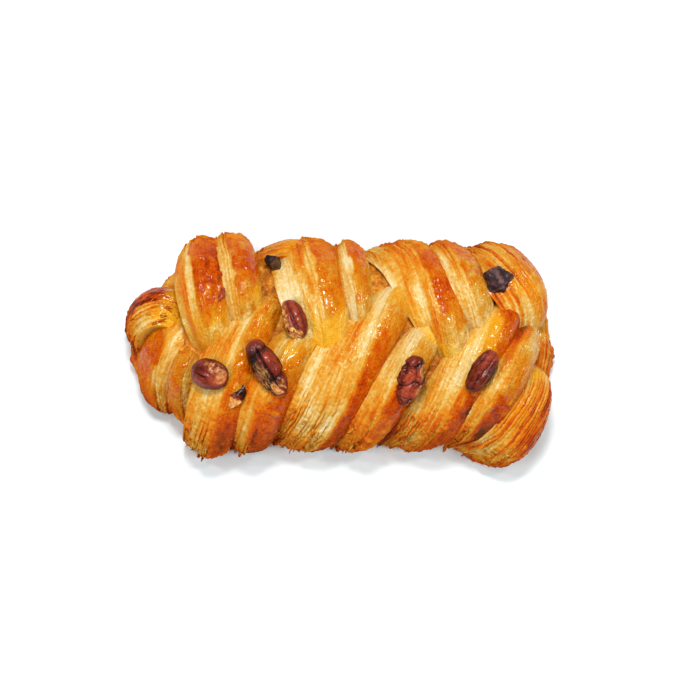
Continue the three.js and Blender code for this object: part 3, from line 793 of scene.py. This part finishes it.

# %% [markdown]
# Pecan halves are oval lumps with furrows along them and wrinkles across. A sculpted mesh would also do, but
# a formula can be tuned nut by nut: ring by ring the radius is a sine, cut by furrows, creases and valleys
# between lobes, and the skin's colour gets painted shade in these and towards the underside. Most nuts have a
# crack along the top, darkened inside with painted shade. Where a nut is broken, its points are pressed onto
# a plane, which bares the cream-coloured inside, and tones darken or lighten the skin round a spot.

# %% Turn, break and crack a nut
BREAK_GRAIN = {"fineness": 4, "offset": 9, "height": 0.3, "edge": (-0.03, 0.1)}
SKIN_LEFT = {"fineness": 7, "offset": (9, 30), "ramp": (0.28, 0.6)}
# The crack's dark share is painted shade inside the groove.
CRACK = {"depth": 0.22, "ramp": 0.25, "top": (0, 0.3), "dark": 0.8}
CRACK_SWAY = {"by": 0.2, "fineness": 2.5, "offset": 9}


def turned(points, at, turn):
    """Turns points by roll about X, then pitch about Y, then yaw about Z, and moves them to their place."""
    yaw, pitch, roll = np.radians(turn)
    about_z = [[np.cos(yaw), -np.sin(yaw), 0], [np.sin(yaw), np.cos(yaw), 0], [0, 0, 1]]
    about_y = [[np.cos(pitch), 0, np.sin(pitch)], [0, 1, 0], [-np.sin(pitch), 0, np.cos(pitch)]]
    about_x = [[1, 0, 0], [0, np.cos(roll), -np.sin(roll)], [0, np.sin(roll), np.cos(roll)]]
    return points @ (np.array(about_z) @ about_y @ about_x).T + np.array(at)


def broken(body, breaks, seed, roughness=BREAK_GRAIN["height"]):
    """Presses points that lie past a break's plane onto it, apart from a rough grain, and marks how bare
    they are. The mark is patchy, because skin is left on parts of a break. Offsets only pick which stretch
    of the hills is used."""
    bared = np.zeros(body.shape[:2])
    x, y, z = (SKIN_LEFT["fineness"] * body[..., axis] for axis in range(3))
    patch = rough_hills(x + SKIN_LEFT["offset"][0], y + z + SKIN_LEFT["offset"][1], seed + 40)
    for number, (direction, level, bareness) in enumerate(breaks):
        facing = np.array(direction) / np.linalg.norm(direction)
        x, y = (BREAK_GRAIN["fineness"] * body[..., axis] + BREAK_GRAIN["offset"] for axis in range(2))
        past = body @ facing - level - roughness * (rough_hills(x, y, seed + number) - 0.5)
        body = body - np.maximum(past, 0)[..., None] * facing
        bared = np.maximum(bared, bareness * smooth(*BREAK_GRAIN["edge"], past))
    return body, bared * smooth(*SKIN_LEFT["ramp"], patch)


def split_open(body, dark, crack, seed):
    """A crack is a narrow bell-shaped groove along the top, at one place across and between two places
    along the nut. It sways by slow hills, has a width of its own and is darkened inside with painted shade."""
    across, start, end, wide = crack
    x, y, z = (body[..., axis] for axis in range(3))
    sway = CRACK_SWAY["by"] * (hills(CRACK_SWAY["fineness"] * x + CRACK_SWAY["offset"], 0.5, seed) - 0.5)
    split = np.exp(-(((y - across - sway) / wide) ** 2)) * smooth(*CRACK["top"], z)
    split = split * smooth(start, start + CRACK["ramp"], x) * smooth(end, end - CRACK["ramp"], x)
    return body - split[..., None] * np.array([0, 0, CRACK["depth"]]), dark + CRACK["dark"] * split


quarter_turn = turned(np.array([1.0, 0, 0]), (0, 0, 0), (90, 0, 0))
print("a nut along X, yawed by 90 degrees, lies along", quarter_turn.round(2))

# %% One pecan
PECAN_GRID = {"rings": 130, "columns": 96}
PECAN_FULLNESS = 0.75
FURROWS = {"count": 6, "sway": 0.35, "groove": 1.5, "sharpness": 8}
LOBE_VALLEY = {"slant": 0.05, "wander": 0.08, "sharpness": 3, "ends": 0.15}
CREASE = {"along": 9, "cosine": 2.2, "sine": 1.7, "offset": (3, 20), "narrowness": 5}
PECAN_HILLS = {"sway": (3, 2, 0), "wander": (4, 2, 5), "lumps": (14, 5, 9), "patch": (5, 2, 5)}
# How dark the skin is: a tone all over and in random patches, with painted shade in grooves, creases, lobe
# valleys and towards the underside.
NUT_TONE_AND_SHADE = {"all": 0.25, "groove": 6, "crease": 3, "valley": 3, "patch": 0.6, "underside": 0.5}
PAINTED_SHADE_BELOW = (0.45, -0.2)


def on_nut(key, t, wave):
    """Place in the hills of one kind: so many along the nut, and so many round it by a sine or cosine,
    counted from an offset."""
    along, across, offset = PECAN_HILLS[key]
    return along * t, across * wave + offset


def pecan(name, at, size, turn, furrow, lobes, wrinkle, crack, breaks, tones, seed):
    """Radius sin(pi t)^0.75 from point to point. Six furrows of cos(6a) with a sharp groove at the bottom
    run along it, valleys where sin(n pi t) is near zero part its n lobes, and creases lie where fine hills
    cross half their height. The skin's colour gets painted shade in grooves, creases and valleys and
    towards the underside, and each tone darkens or lightens it round a direction."""
    t, a = ring_grid(**PECAN_GRID)
    sine, cosine = np.sin(a), np.cos(a)
    sway = a + FURROWS["sway"] * (hills(*on_nut("sway", t, sine), seed) - 0.5)
    wave = np.cos(FURROWS["count"] * sway)
    groove = ((1 - wave) / 2) ** FURROWS["sharpness"] * np.sin(np.pi * t)
    count, depth = lobes
    wander = hills(*on_nut("wander", t, cosine), seed + 2) - 0.5
    lean = t + LOBE_VALLEY["slant"] * cosine + LOBE_VALLEY["wander"] * wander
    valley = (1 - np.abs(np.sin(count * np.pi * lean))) ** LOBE_VALLEY["sharpness"]
    valley = valley * smooth(0, LOBE_VALLEY["ends"], t) * smooth(1, 1 - LOBE_VALLEY["ends"], t)
    cell_along = CREASE["along"] * t + CREASE["offset"][0]
    cell_across = CREASE["cosine"] * cosine + CREASE["sine"] * sine + CREASE["offset"][1]
    cell = rough_hills(cell_along, cell_across, seed + 1)
    crease = np.clip(1 - np.abs(2 * cell - 1) * CREASE["narrowness"], 0, 1) ** 2
    lumps = hills(*on_nut("lumps", t, sine), seed + 4) - 0.5
    bulk = 1 + furrow * (wave - FURROWS["groove"] * groove) - depth * valley + wrinkle * (lumps - crease)
    radius = np.sin(np.pi * t) ** PECAN_FULLNESS * bulk
    body = points_of(-np.cos(np.pi * t), radius * cosine, radius * sine)
    patch = rough_hills(*on_nut("patch", t, sine), seed + 8) - 0.5
    # Painted shade: the colour darkens in grooves, creases and lobe valleys and towards the underside, on top
    # of the random patches.
    dark = NUT_TONE_AND_SHADE["all"] + NUT_TONE_AND_SHADE["groove"] * furrow * groove + NUT_TONE_AND_SHADE["crease"] * wrinkle * crease
    dark = dark + NUT_TONE_AND_SHADE["valley"] * depth * valley + NUT_TONE_AND_SHADE["patch"] * patch
    dark = dark + NUT_TONE_AND_SHADE["underside"] * smooth(*PAINTED_SHADE_BELOW, sine)
    if crack:
        body, dark = split_open(body, dark, crack, seed + 9)
    for direction, reach, change in tones:
        gap = ((body - np.array(direction)) ** 2).sum(axis=-1)
        dark = dark + change * np.exp(-gap / reach**2)
    body, bared = broken(body, breaks, seed + 6)
    placed = turned(body * np.array(size) / 2, at, turn)
    return ring_piece(name, placed, bared=bared, dark=np.clip(dark, 0, 1))


print("a pecan has", PECAN_GRID["rings"] * PECAN_GRID["columns"], "points on its rings")

# %% The five pecans
NUT_SEEDS = 50
PECAN_SEED = 4000
PECANS = {
    "pecan_1": dict(at=(-44.3, -13.6, 33.5), size=(13.5, 10.5, 8), turn=(-20, -18, 8),
                    furrow=0.02, lobes=(2, 0.03), wrinkle=0.05, crack=(-0.25, -0.6, 0.2, 0.05),
                    breaks=[((0.75, 0.1, 0.65), 0.84, 0.45), ((0.35, 0.6, 0.75), 0.88, 0.75)],
                    tones=[((-0.5, 0.2, 0.8), 0.6, 0.35), ((0.7, -0.4, 0.6), 0.4, -0.2)]),
    "pecan_2": dict(at=(-24.6, -11.5, 35.2), size=(21.5, 9.5, 8), turn=(-59, 5, 0),
                    furrow=0.03, lobes=(3, 0.18), wrinkle=0.07, crack=(-0.08, -0.75, 0.85, 0.06),
                    breaks=[((0.85, -0.2, 0.45), 0.81, 1), ((0.25, -0.75, 0.6), 0.8, 0.4)],
                    tones=[((-0.2, -0.7, 0.6), 0.5, 0.8), ((0.4, -0.5, 0.7), 0.3, 0.7),
                           ((-0.9, 0, 0.3), 0.4, -0.2)]),
    "pecan_3": dict(at=(-15.7, 5.5, 33.4), size=(14.5, 8.5, 7), turn=(-70, -8, 0),
                    furrow=0.07, lobes=(2, 0.04), wrinkle=0.07, crack=(0.1, 0.15, 0.8, 0.035),
                    breaks=[((-0.3, -0.9, 0.3), 0.62, 1.2), ((0.88, -0.35, 0.3), 0.78, 1)],
                    tones=[((0.1, 0.5, 0.8), 0.7, -0.1)]),
    "pecan_4": dict(at=(25.1, -16, 33.4), size=(18, 10, 7.5), turn=(78, -22, 18),
                    furrow=0.05, lobes=(4, 0.2), wrinkle=0.14, crack=None,
                    breaks=[((0.5, -0.75, 0.45), 0.84, 0.6), ((-0.15, -0.7, 0.65), 0.9, 0.6),
                            ((-0.8, -0.6, 0.1), 0.68, 0.5)],
                    tones=[((-0.1, 0.4, 0.8), 0.8, -0.3), ((-0.45, -0.6, 0.5), 0.3, 0.4)]),
    "pecan_5": dict(at=(49.1, -12.7, 34.8), size=(16, 7.7, 7.5), turn=(57, -6, 14),
                    furrow=0.06, lobes=(6, 0.05), wrinkle=0.06, crack=(-0.45, -0.5, 0.75, 0.035),
                    breaks=[((-0.3, 0.85, 0.4), 0.8, 0)],
                    tones=[((-0.9, 0, 0.3), 0.5, 0.35), ((0.3, 0.3, 0.8), 0.5, -0.15),
                           ((0.2, -0.7, 0.5), 0.4, 0.3)]),
}

pecans = []
for number, (name, nut) in enumerate(PECANS.items()):
    pecans.append(pecan(name + "_nut", seed=PECAN_SEED + NUT_SEEDS * number, **nut))
    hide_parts(name)
print("pecans:", [piece.name for piece in pecans])

# %% [markdown]
# Two bits of nut are burnt black and two are small chips. They are broken lumps with flat faces. Blender's
# Boolean could cut a lump to size, but its edges would be knife-sharp. So they start as a ball and are
# pressed onto several planes, like a pebble that is ground flat on many sides, and are then roughened.

# %% One burnt bit or chip
BIT_GRID = {"rings": 90, "columns": 80}
BIT_FACES = 9
BIT_LEVEL = 0.72
BIT_LEAN = 0.2
BIT_LID = (0.1, -0.15, 1)
BIT_SWELL = 1.12
BIT_ROUGHNESS = 0.14
BIT_CRAG = {"height": 0.16, "fineness": (3, 3, 2), "offset": 7}
BIT_SHADING = {"contrast": 1.6, "middle": 0.75}
BARED_EDGE = {"half_width": 0.08, "wander": 0.3}
CHARRED_END = {"dark": 0.7, "ramp": (0.2, 0.5)}


def bit_faces(upright, seed):
    """A bit's flat faces, each a direction, its distance from the middle and how bare it is: nearly upright
    ones at given angles and a sloping lid, or where none are given, directions drawn at random."""
    if not upright:
        directions = np.random.default_rng(seed).normal(size=(BIT_FACES, 3))
        return [(direction, BIT_LEVEL, 1) for direction in directions]
    turns = [(np.radians(angle), level) for angle, level in upright]
    sides = [((np.cos(turn), np.sin(turn), BIT_LEAN), level, 1) for turn, level in turns]
    return [*sides, (BIT_LID, BIT_LEVEL, 1)]


def nut_bit(name, at, size, turn, seed, upright=(), bared=None, bareness=0, shade=0):
    """A ball pressed onto planes, then roughened by fine hills, whose hollows are darker. Up to the given
    place along its length a bit is bared to its pale inside, and its other end is charred."""
    t, a = ring_grid(**BIT_GRID)
    ball = points_of(-np.cos(np.pi * t), np.sin(np.pi * t) * np.cos(a), np.sin(np.pi * t) * np.sin(a))
    body = broken(BIT_SWELL * ball, bit_faces(upright, seed), seed, BIT_ROUGHNESS)[0]
    x, y, z = (fine * body[..., axis] for axis, fine in enumerate(BIT_CRAG["fineness"]))
    crag = rough_hills(x + BIT_CRAG["offset"], y + z + BIT_CRAG["offset"], seed + 20)
    body = body * (1 + BIT_CRAG["height"] * (crag - 0.5))[..., None]
    along = body[..., 0] + BARED_EDGE["wander"] * (crag - 0.5)
    dark = shade + BIT_SHADING["contrast"] * (BIT_SHADING["middle"] - crag)
    pale = np.zeros_like(crag)
    if bared is not None:
        edge = BARED_EDGE["half_width"]
        pale = bareness * smooth(bared + edge, bared - edge, along)
        dark = dark + CHARRED_END["dark"] * smooth(*CHARRED_END["ramp"], along)
    placed = turned(body * np.array(size) / 2, at, turn)
    return ring_piece(name, placed, bared=pale, dark=np.clip(dark, 0, 1))


print("a bit has", BIT_GRID["rings"] * BIT_GRID["columns"], "points on its rings")

# %% The burnt bits and chips
BIT_SEED = 5000
BITS = {
    "burnt_pecan_1": dict(at=(55.1, 20.3, 31.4), size=(10, 9.5, 6), turn=(20, 10, -14),
                          upright=((95, 0.86), (35, 0.8), (-51, 0.82), (-110, 1), (175, 0.8))),
    "burnt_pecan_2": dict(at=(-23.0, 27.4, 25.5), size=(6.8, 5, 4.5), turn=(140, 24, 0),
                          bared=-0.3, bareness=0.1, shade=0.35,
                          upright=((5, 0.95), (80, 0.72), (150, 0.85), (215, 0.7), (300, 0.78))),
    "pecan_chip_1": dict(at=(-35.3, -21, 31), size=(8.5, 5.5, 4), turn=(60, -13, 30),
                         bared=-0.15, bareness=1),
    "pecan_chip_2": dict(at=(-40.5, 14.7, 32.4), size=(6.5, 3.4, 3), turn=(75, 14, 20), shade=-0.3),
}

bits = []
for number, (name, bit) in enumerate(BITS.items()):
    bits.append(nut_bit(name + "_bit", seed=BIT_SEED + NUT_SEEDS * number, **bit))
    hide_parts(name)
print("bits:", [piece.name for piece in bits])

# %% [markdown]
# Finishes come next. All the dough shares one scale of toasting, from pale straw to dark brown, and every
# material of the food needs fine grain. Both could be wired up inside the materials, but a node group is made
# once and placed where it is wanted. One takes a number and gives a colour, and the other takes a place and
# gives a height.

# %% Helpers for colours, sockets and groups
def linear(colour):
    """A colour of 0 to 255 as light strength: ((c + 0.055) / 1.055)^2.4, or c / 12.92 when very dark."""
    c = np.array(colour) / 255
    return (*np.where(c > 0.04045, ((c + 0.055) / 1.055) ** 2.4, c / 12.92), 1.0)


def set_sockets(node, values):
    """Sets plain values on a node's own sockets."""
    for label, value in values.items():
        node.inputs[label].default_value = value


def new_group(name, inputs, outputs):
    """An empty node group with named sockets."""
    group = bpy.data.node_groups.new(name, "ShaderNodeTree")
    for way, sockets in (("INPUT", inputs), ("OUTPUT", outputs)):
        for label, kind in sockets.items():
            group.interface.new_socket(label, in_out=way, socket_type="NodeSocket" + kind)
    return group, group.nodes.new("NodeGroupInput"), group.nodes.new("NodeGroupOutput")


def colour_scale(tree, stops):
    """A colour ramp node with the given places and colours."""
    node = tree.nodes.new("ShaderNodeValToRGB")
    elements = node.color_ramp.elements
    for place, colour in stops[1:-1]:
        elements.new(place).color = linear(colour)
    for end in (0, -1):
        elements[end].position, elements[end].color = stops[end][0], linear(stops[end][1])
    return node


print("mid grey has", round(float(linear((128, 128, 128))[0]), 2), "of the light of white")

# %% The two shared groups
TOASTING = [
    (0.0, (222, 206, 162)), (0.15, (215, 184, 114)), (0.3, (205, 151, 56)),
    (0.45, (201, 121, 16)), (0.58, (196, 92, 3)), (0.7, (184, 65, 1)),
    (0.82, (154, 46, 2)), (0.92, (114, 34, 6)), (1.0, (74, 25, 12)),
]
GRAIN_DETAIL = 4

toasting, entry, leave = new_group("toasting", {"Bake": "Float"}, {"Colour": "Color"})
scale = colour_scale(toasting, TOASTING)
toasting.links.new(entry.outputs["Bake"], scale.inputs["Fac"])
toasting.links.new(scale.outputs["Color"], leave.inputs["Colour"])

fine_grain, entry, leave = new_group(
    "fine_grain", {"Place": "Vector", "Fineness": "Float"}, {"Height": "Float"})
noise = fine_grain.nodes.new("ShaderNodeTexNoise")
set_sockets(noise, {"Detail": GRAIN_DETAIL})
fine_grain.links.new(entry.outputs["Place"], noise.inputs["Vector"])
fine_grain.links.new(entry.outputs["Fineness"], noise.inputs["Scale"])
fine_grain.links.new(noise.outputs["Fac"], leave.inputs["Height"])
print("groups:", [group.name for group in bpy.data.node_groups])

# %% Helpers to wire a material
def new_material(name):
    """A material with only its Principled shader and output."""
    material = bpy.data.materials.new(name)
    material.use_nodes = True
    tree = material.node_tree
    return material, tree, tree.nodes["Principled BSDF"]


def own_place(tree):
    """Object coordinates, which stay with the piece."""
    return tree.nodes.new("ShaderNodeTexCoord").outputs["Object"]


def attribute(tree, name, output="Fac"):
    """One of the numbers kept on the points."""
    node = tree.nodes.new("ShaderNodeAttribute")
    node.attribute_name = name
    return node.outputs[output]


def grain_node(tree, place, fineness):
    """The fine grain group, at a place that a socket gives."""
    node = tree.nodes.new("ShaderNodeGroup")
    node.node_tree = fine_grain
    set_sockets(node, {"Fineness": fineness})
    tree.links.new(place, node.inputs["Place"])
    return node.outputs["Height"]


def scaled_sum(tree, value, factor, other):
    """value times factor plus other, where factor and other are sockets or numbers."""
    node = tree.nodes.new("ShaderNodeMath")
    node.operation = "MULTIPLY_ADD"
    tree.links.new(value, node.inputs[0])
    for socket, given in ((node.inputs[1], factor), (node.inputs[2], other)):
        if isinstance(given, (int, float)):
            socket.default_value = given
        else:
            tree.links.new(given, socket)
    return node.outputs[0]


def bump(tree, height, settings):
    """A bump node that leans the shading by a height."""
    node = tree.nodes.new("ShaderNodeBump")
    set_sockets(node, settings)
    tree.links.new(height, node.inputs["Height"])
    return node.outputs["Normal"]


def mixed(tree, share, first, second):
    """Blends two colours, each a socket or a plain colour."""
    node = tree.nodes.new("ShaderNodeMix")
    node.data_type = "RGBA"
    tree.links.new(share, node.inputs["Factor"])
    for label, colour in (("A", first), ("B", second)):
        socket = [s for s in node.inputs if s.name == label and s.type == "RGBA"][0]
        if isinstance(colour, tuple):
            socket.default_value = linear(colour)
        else:
            tree.links.new(colour, socket)
    return [s for s in node.outputs if s.type == "RGBA"][0]


on_points = [layer.name for layer in dough_pieces[0].data.attributes if layer.domain == "POINT"]
print("the dough's points carry", [name for name in on_points if not name.startswith(".")])

# %% [markdown]
# The dough's material reads bake, glaze and pool from the points. An image could hold such colours too, but
# numbers on the points need no unwrapping. Speckles, and fibres stretched along the strip, shift the toasting
# a little. Dough that the glaze has missed looks like dry crumb, and pools of glaze are yellow. The glaze
# itself is a clear coat, with fine bubbles in its bump, so that it sparkles.

# %% The dough's finish
GLAZE_POOL = (240, 180, 32)
POOL_SHARE = 0.6
DRY_CRUMB = (206, 148, 80)
DRY_SHARE = 0.1
FIBRE_SCALE = (0.15, 2.4, 1)
FIBRE_SHARE = 0.28
SPECKLE_FINENESS = 1200
SPECKLE_SHARE = 0.42
BUBBLE_FINENESS = 1.5
COAT = 0.6
DOUGH_RELIEF = {"speckle": 0.4, "fibre": 0.6, "bubbles": 1.7}
DOUGH_BUMP = {"Distance": 0.0006, "Strength": 0.9}
DOUGH_SHADER = {
    "Roughness": 0.5, "Coat Roughness": 0.08, "Coat IOR": 1.45, "Specular IOR Level": 0.0,
    "Subsurface Weight": 0.06, "Subsurface Scale": 0.002, "Subsurface Radius": (1.0, 0.5, 0.2),
}

dough, tree, shader = new_material("toasted_dough")
lengthwise = attribute(tree, "grain", "Vector")
stretch = tree.nodes.new("ShaderNodeMapping")
set_sockets(stretch, {"Scale": FIBRE_SCALE})
tree.links.new(lengthwise, stretch.inputs["Vector"])
speckle = grain_node(tree, own_place(tree), SPECKLE_FINENESS)
fibre = grain_node(tree, stretch.outputs["Vector"], 1)
bake = scaled_sum(tree, speckle, SPECKLE_SHARE, attribute(tree, "bake"))
bake = scaled_sum(tree, fibre, FIBRE_SHARE, bake)
bake = scaled_sum(tree, bake, 1, -(SPECKLE_SHARE + FIBRE_SHARE) / 2)
toast = tree.nodes.new("ShaderNodeGroup")
toast.node_tree = toasting
tree.links.new(bake, toast.inputs["Bake"])
glaze = attribute(tree, "glaze")
dryness = scaled_sum(tree, glaze, -DRY_SHARE, DRY_SHARE)
crumb = mixed(tree, dryness, toast.outputs["Colour"], DRY_CRUMB)
pool = scaled_sum(tree, attribute(tree, "pool"), POOL_SHARE, 0)
bubbles = scaled_sum(tree, grain_node(tree, lengthwise, BUBBLE_FINENESS), glaze, 0)
height = scaled_sum(tree, speckle, DOUGH_RELIEF["speckle"], 0)
height = scaled_sum(tree, fibre, DOUGH_RELIEF["fibre"], height)
height = scaled_sum(tree, bubbles, DOUGH_RELIEF["bubbles"], height)
tree.links.new(mixed(tree, pool, crumb, GLAZE_POOL), shader.inputs["Base Color"])
tree.links.new(scaled_sum(tree, glaze, COAT, 0), shader.inputs["Coat Weight"])
tree.links.new(bump(tree, height, DOUGH_BUMP), shader.inputs["Normal"])
set_sockets(shader, DOUGH_SHADER)
print("dough nodes:", len(tree.nodes))

# %% [markdown]
# The filling and the nuts need simpler finishes. Each has a scale of colours, and a number on the points and
# fine grain say where on it a spot lies: paste is lighter on its grains, and nut skin is darker where painted
# shade lies in its creases and towards its underside. Where a nut is bared, a second, creamy scale takes over.
# Nut skin also shines a little.

# %% The filling's finish
PASTE = [(0.25, (116, 58, 8)), (0.42, (172, 96, 14)), (0.56, (200, 123, 24)), (0.75, (226, 168, 64))]
PASTE_FINENESS = 1400
PASTE_LEVEL = {"grain": 0.6, "crumbly": 0.6, "shift": -0.1}
PASTE_BUMP = {"Distance": 0.0006, "Strength": 0.7}
PASTE_SHADER = {"Roughness": 0.5, "Specular IOR Level": 0.15}


def coloured_by(tree, level, stops):
    """The colour that a scale has at a level."""
    scale = colour_scale(tree, stops)
    tree.links.new(level, scale.inputs["Fac"])
    return scale.outputs["Color"]


paste, tree, shader = new_material("sugary_paste")
grain = grain_node(tree, own_place(tree), PASTE_FINENESS)
level = scaled_sum(tree, attribute(tree, "crumbly"), PASTE_LEVEL["crumbly"], PASTE_LEVEL["shift"])
level = scaled_sum(tree, grain, PASTE_LEVEL["grain"], level)
tree.links.new(coloured_by(tree, level, PASTE), shader.inputs["Base Color"])
tree.links.new(bump(tree, grain, PASTE_BUMP), shader.inputs["Normal"])
set_sockets(shader, PASTE_SHADER)
print("filling nodes:", len(tree.nodes))

# %% The nuts' finishes
NUT_SKIN = [
    (0.0, (158, 64, 38)), (0.3, (118, 40, 25)), (0.6, (78, 21, 12)), (0.85, (42, 12, 9)), (1.0, (24, 17, 16)),
]
NUT_INSIDE = [(0.3, (158, 88, 40)), (0.5, (216, 146, 76)), (0.7, (242, 194, 120))]
BURNT = [(0.0, (100, 72, 70)), (0.4, (58, 38, 38)), (1.0, (24, 15, 15))]
NUT_FINENESS = 900
NUT_GRAIN_SHARE = 0.5
NUT_BUMP = {"Distance": 0.0005, "Strength": 0.5}
NUT_SHADER = {"Specular IOR Level": 0.1, "Coat Roughness": 0.15}


def nut_material(name, stops, roughness, coat):
    """Nut skin: a scale of colours by how dark a spot is, and cream where the nut is bared."""
    material, tree, shader = new_material(name)
    grain = grain_node(tree, own_place(tree), NUT_FINENESS)
    level = scaled_sum(tree, attribute(tree, "dark"), 1, -NUT_GRAIN_SHARE / 2)
    level = scaled_sum(tree, grain, NUT_GRAIN_SHARE, level)
    skin, inside = coloured_by(tree, level, stops), coloured_by(tree, grain, NUT_INSIDE)
    tree.links.new(mixed(tree, attribute(tree, "bared"), skin, inside), shader.inputs["Base Color"])
    tree.links.new(bump(tree, grain, NUT_BUMP), shader.inputs["Normal"])
    set_sockets(shader, {"Roughness": roughness, "Coat Weight": coat, **NUT_SHADER})
    return material


nut_skin = nut_material("pecan_skin", NUT_SKIN, roughness=0.42, coat=0.35)
burnt_skin = nut_material("burnt_skin", BURNT, roughness=0.5, coat=0.1)
print("materials:", [material.name for material in (dough, paste, nut_skin, burnt_skin)])

# %% [markdown]
# Each piece now gets its finish and rides on the one body that the food has, and the CAD solid that it
# stands for is hidden. The nuts have hidden theirs above. The dough pieces all stand for the same one, so a
# single loop hides it here, and the filling follows.

# %% Hand out finishes
def dress(piece, material):
    """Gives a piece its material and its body."""
    piece.data.materials.append(material)
    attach(piece, "root")


for piece in dough_pieces:
    dress(piece, dough)
    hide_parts("pastry")
dress(filling, paste)
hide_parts("filling")
for piece in pecans:
    dress(piece, nut_skin)
for piece in bits:
    is_burnt = piece.name.startswith("burnt")
    dress(piece, burnt_skin if is_burnt else nut_skin)
print("pieces:", len(dough_pieces) + 1 + len(pecans) + len(bits))

# %% [markdown]
# The photograph is a plain product shot on a white board. A soft lamp stands high behind the loaf, and four
# small lamps beside it make the glaze sparkle. Two broad lamps on the near side lift the shadows. A bright
# room could do that too, but its reflection would lie over the brown crust as a pale veil. So the
# surroundings are dim, and the glaze doesn't mirror the two broad lamps.

# %% The board
FLOOR_SIZE = 4
FLOOR_COLOUR = (0.84, 0.92, 0.94, 1)
FLOOR_ROUGHNESS = 0.9

half = FLOOR_SIZE / 2
floor_corners = [(-half, -half, 0), (half, -half, 0), (half, half, 0), (-half, half, 0)]
floor_mesh = bpy.data.meshes.new("board")
floor_mesh.from_pydata(floor_corners, [], [(0, 1, 2, 3)])
floor = bpy.data.objects.new("board", floor_mesh)
bpy.context.scene.collection.objects.link(floor)
white, tree, shader = new_material("white_board")
set_sockets(shader, {"Base Color": FLOOR_COLOUR, "Roughness": FLOOR_ROUGHNESS})
floor.data.materials.append(white)
print("board:", FLOOR_SIZE, "m square")

# %% The lamps and the surroundings
KEY = {"elevation": 68, "distance": 1.2, "size": 0.26, "power": 8.2}
GLINT = {"elevation": 62, "distance": 1.2, "size": 0.11, "power": 1.7}
FILL = {"elevation": 40, "distance": 1.0, "size": 0.5, "power": 4.2, "mirrored": False}
AZIMUTHS = {"key": (0,), "glint": (70, 25, -25, -70), "fill": (115, 245)}
SURROUND = 0.12

world = bpy.data.worlds.new("studio")
world.use_nodes = True
set_sockets(world.node_tree.nodes["Background"], {"Color": (1, 1, 1, 1), "Strength": SURROUND})
bpy.context.scene.world = world
bpy.context.scene.view_settings.view_transform = "Standard"


def soft_light(name, azimuth, elevation, distance, size, power, mirrored=True):
    """A round soft light that faces the loaf, at an azimuth counted from straight behind it. The glaze
    mirrors it or not."""
    light = bpy.data.lights.new(name, "AREA")
    light.shape, light.size, light.energy = "DISK", size, power
    lamp = bpy.data.objects.new(name, light)
    lift, swing = math.radians(elevation), math.radians(azimuth)
    way = (-math.sin(swing) * math.cos(lift), math.cos(swing) * math.cos(lift), math.sin(lift))
    lamp.location = [distance * share for share in way]
    lamp.rotation_euler = (lift - math.pi / 2, 0, swing)
    lamp.visible_glossy = mirrored
    bpy.context.scene.collection.objects.link(lamp)
    return lamp


lamps = []
for name, kind in (("key", KEY), ("glint", GLINT), ("fill", FILL)):
    lamps += [soft_light(f"{name}_{azimuth}", azimuth, **kind) for azimuth in AZIMUTHS[name]]
print("lamps:", [lamp.name for lamp in lamps])

# %% [markdown]
# The camera stands high on the near side and looks almost straight down, as in the photograph. A long lens
# from a metre away keeps the loaf's outline nearly free of perspective.

# %% The camera
CAMERA = {"elevation": 80, "distance": 1.0, "aim": (3.86, -1.7, 14), "frame_width": 0.2454, "sensor": 36}

lens = bpy.data.cameras.new("camera")
lens.sensor_width = CAMERA["sensor"]
lens.lens = CAMERA["sensor"] * CAMERA["distance"] / CAMERA["frame_width"]
camera = bpy.data.objects.new("camera", lens)
tilt = math.radians(CAMERA["elevation"])
back = (0, -math.cos(tilt), math.sin(tilt))
aim = np.array(CAMERA["aim"]) + ORIGIN_SHIFT
camera.location = aim * MM + CAMERA["distance"] * np.array(back)
camera.rotation_euler = (math.pi / 2 - tilt, 0, 0)
bpy.context.scene.collection.objects.link(camera)
bpy.context.scene.camera = camera
print("camera lens", round(lens.lens, 1), "mm")
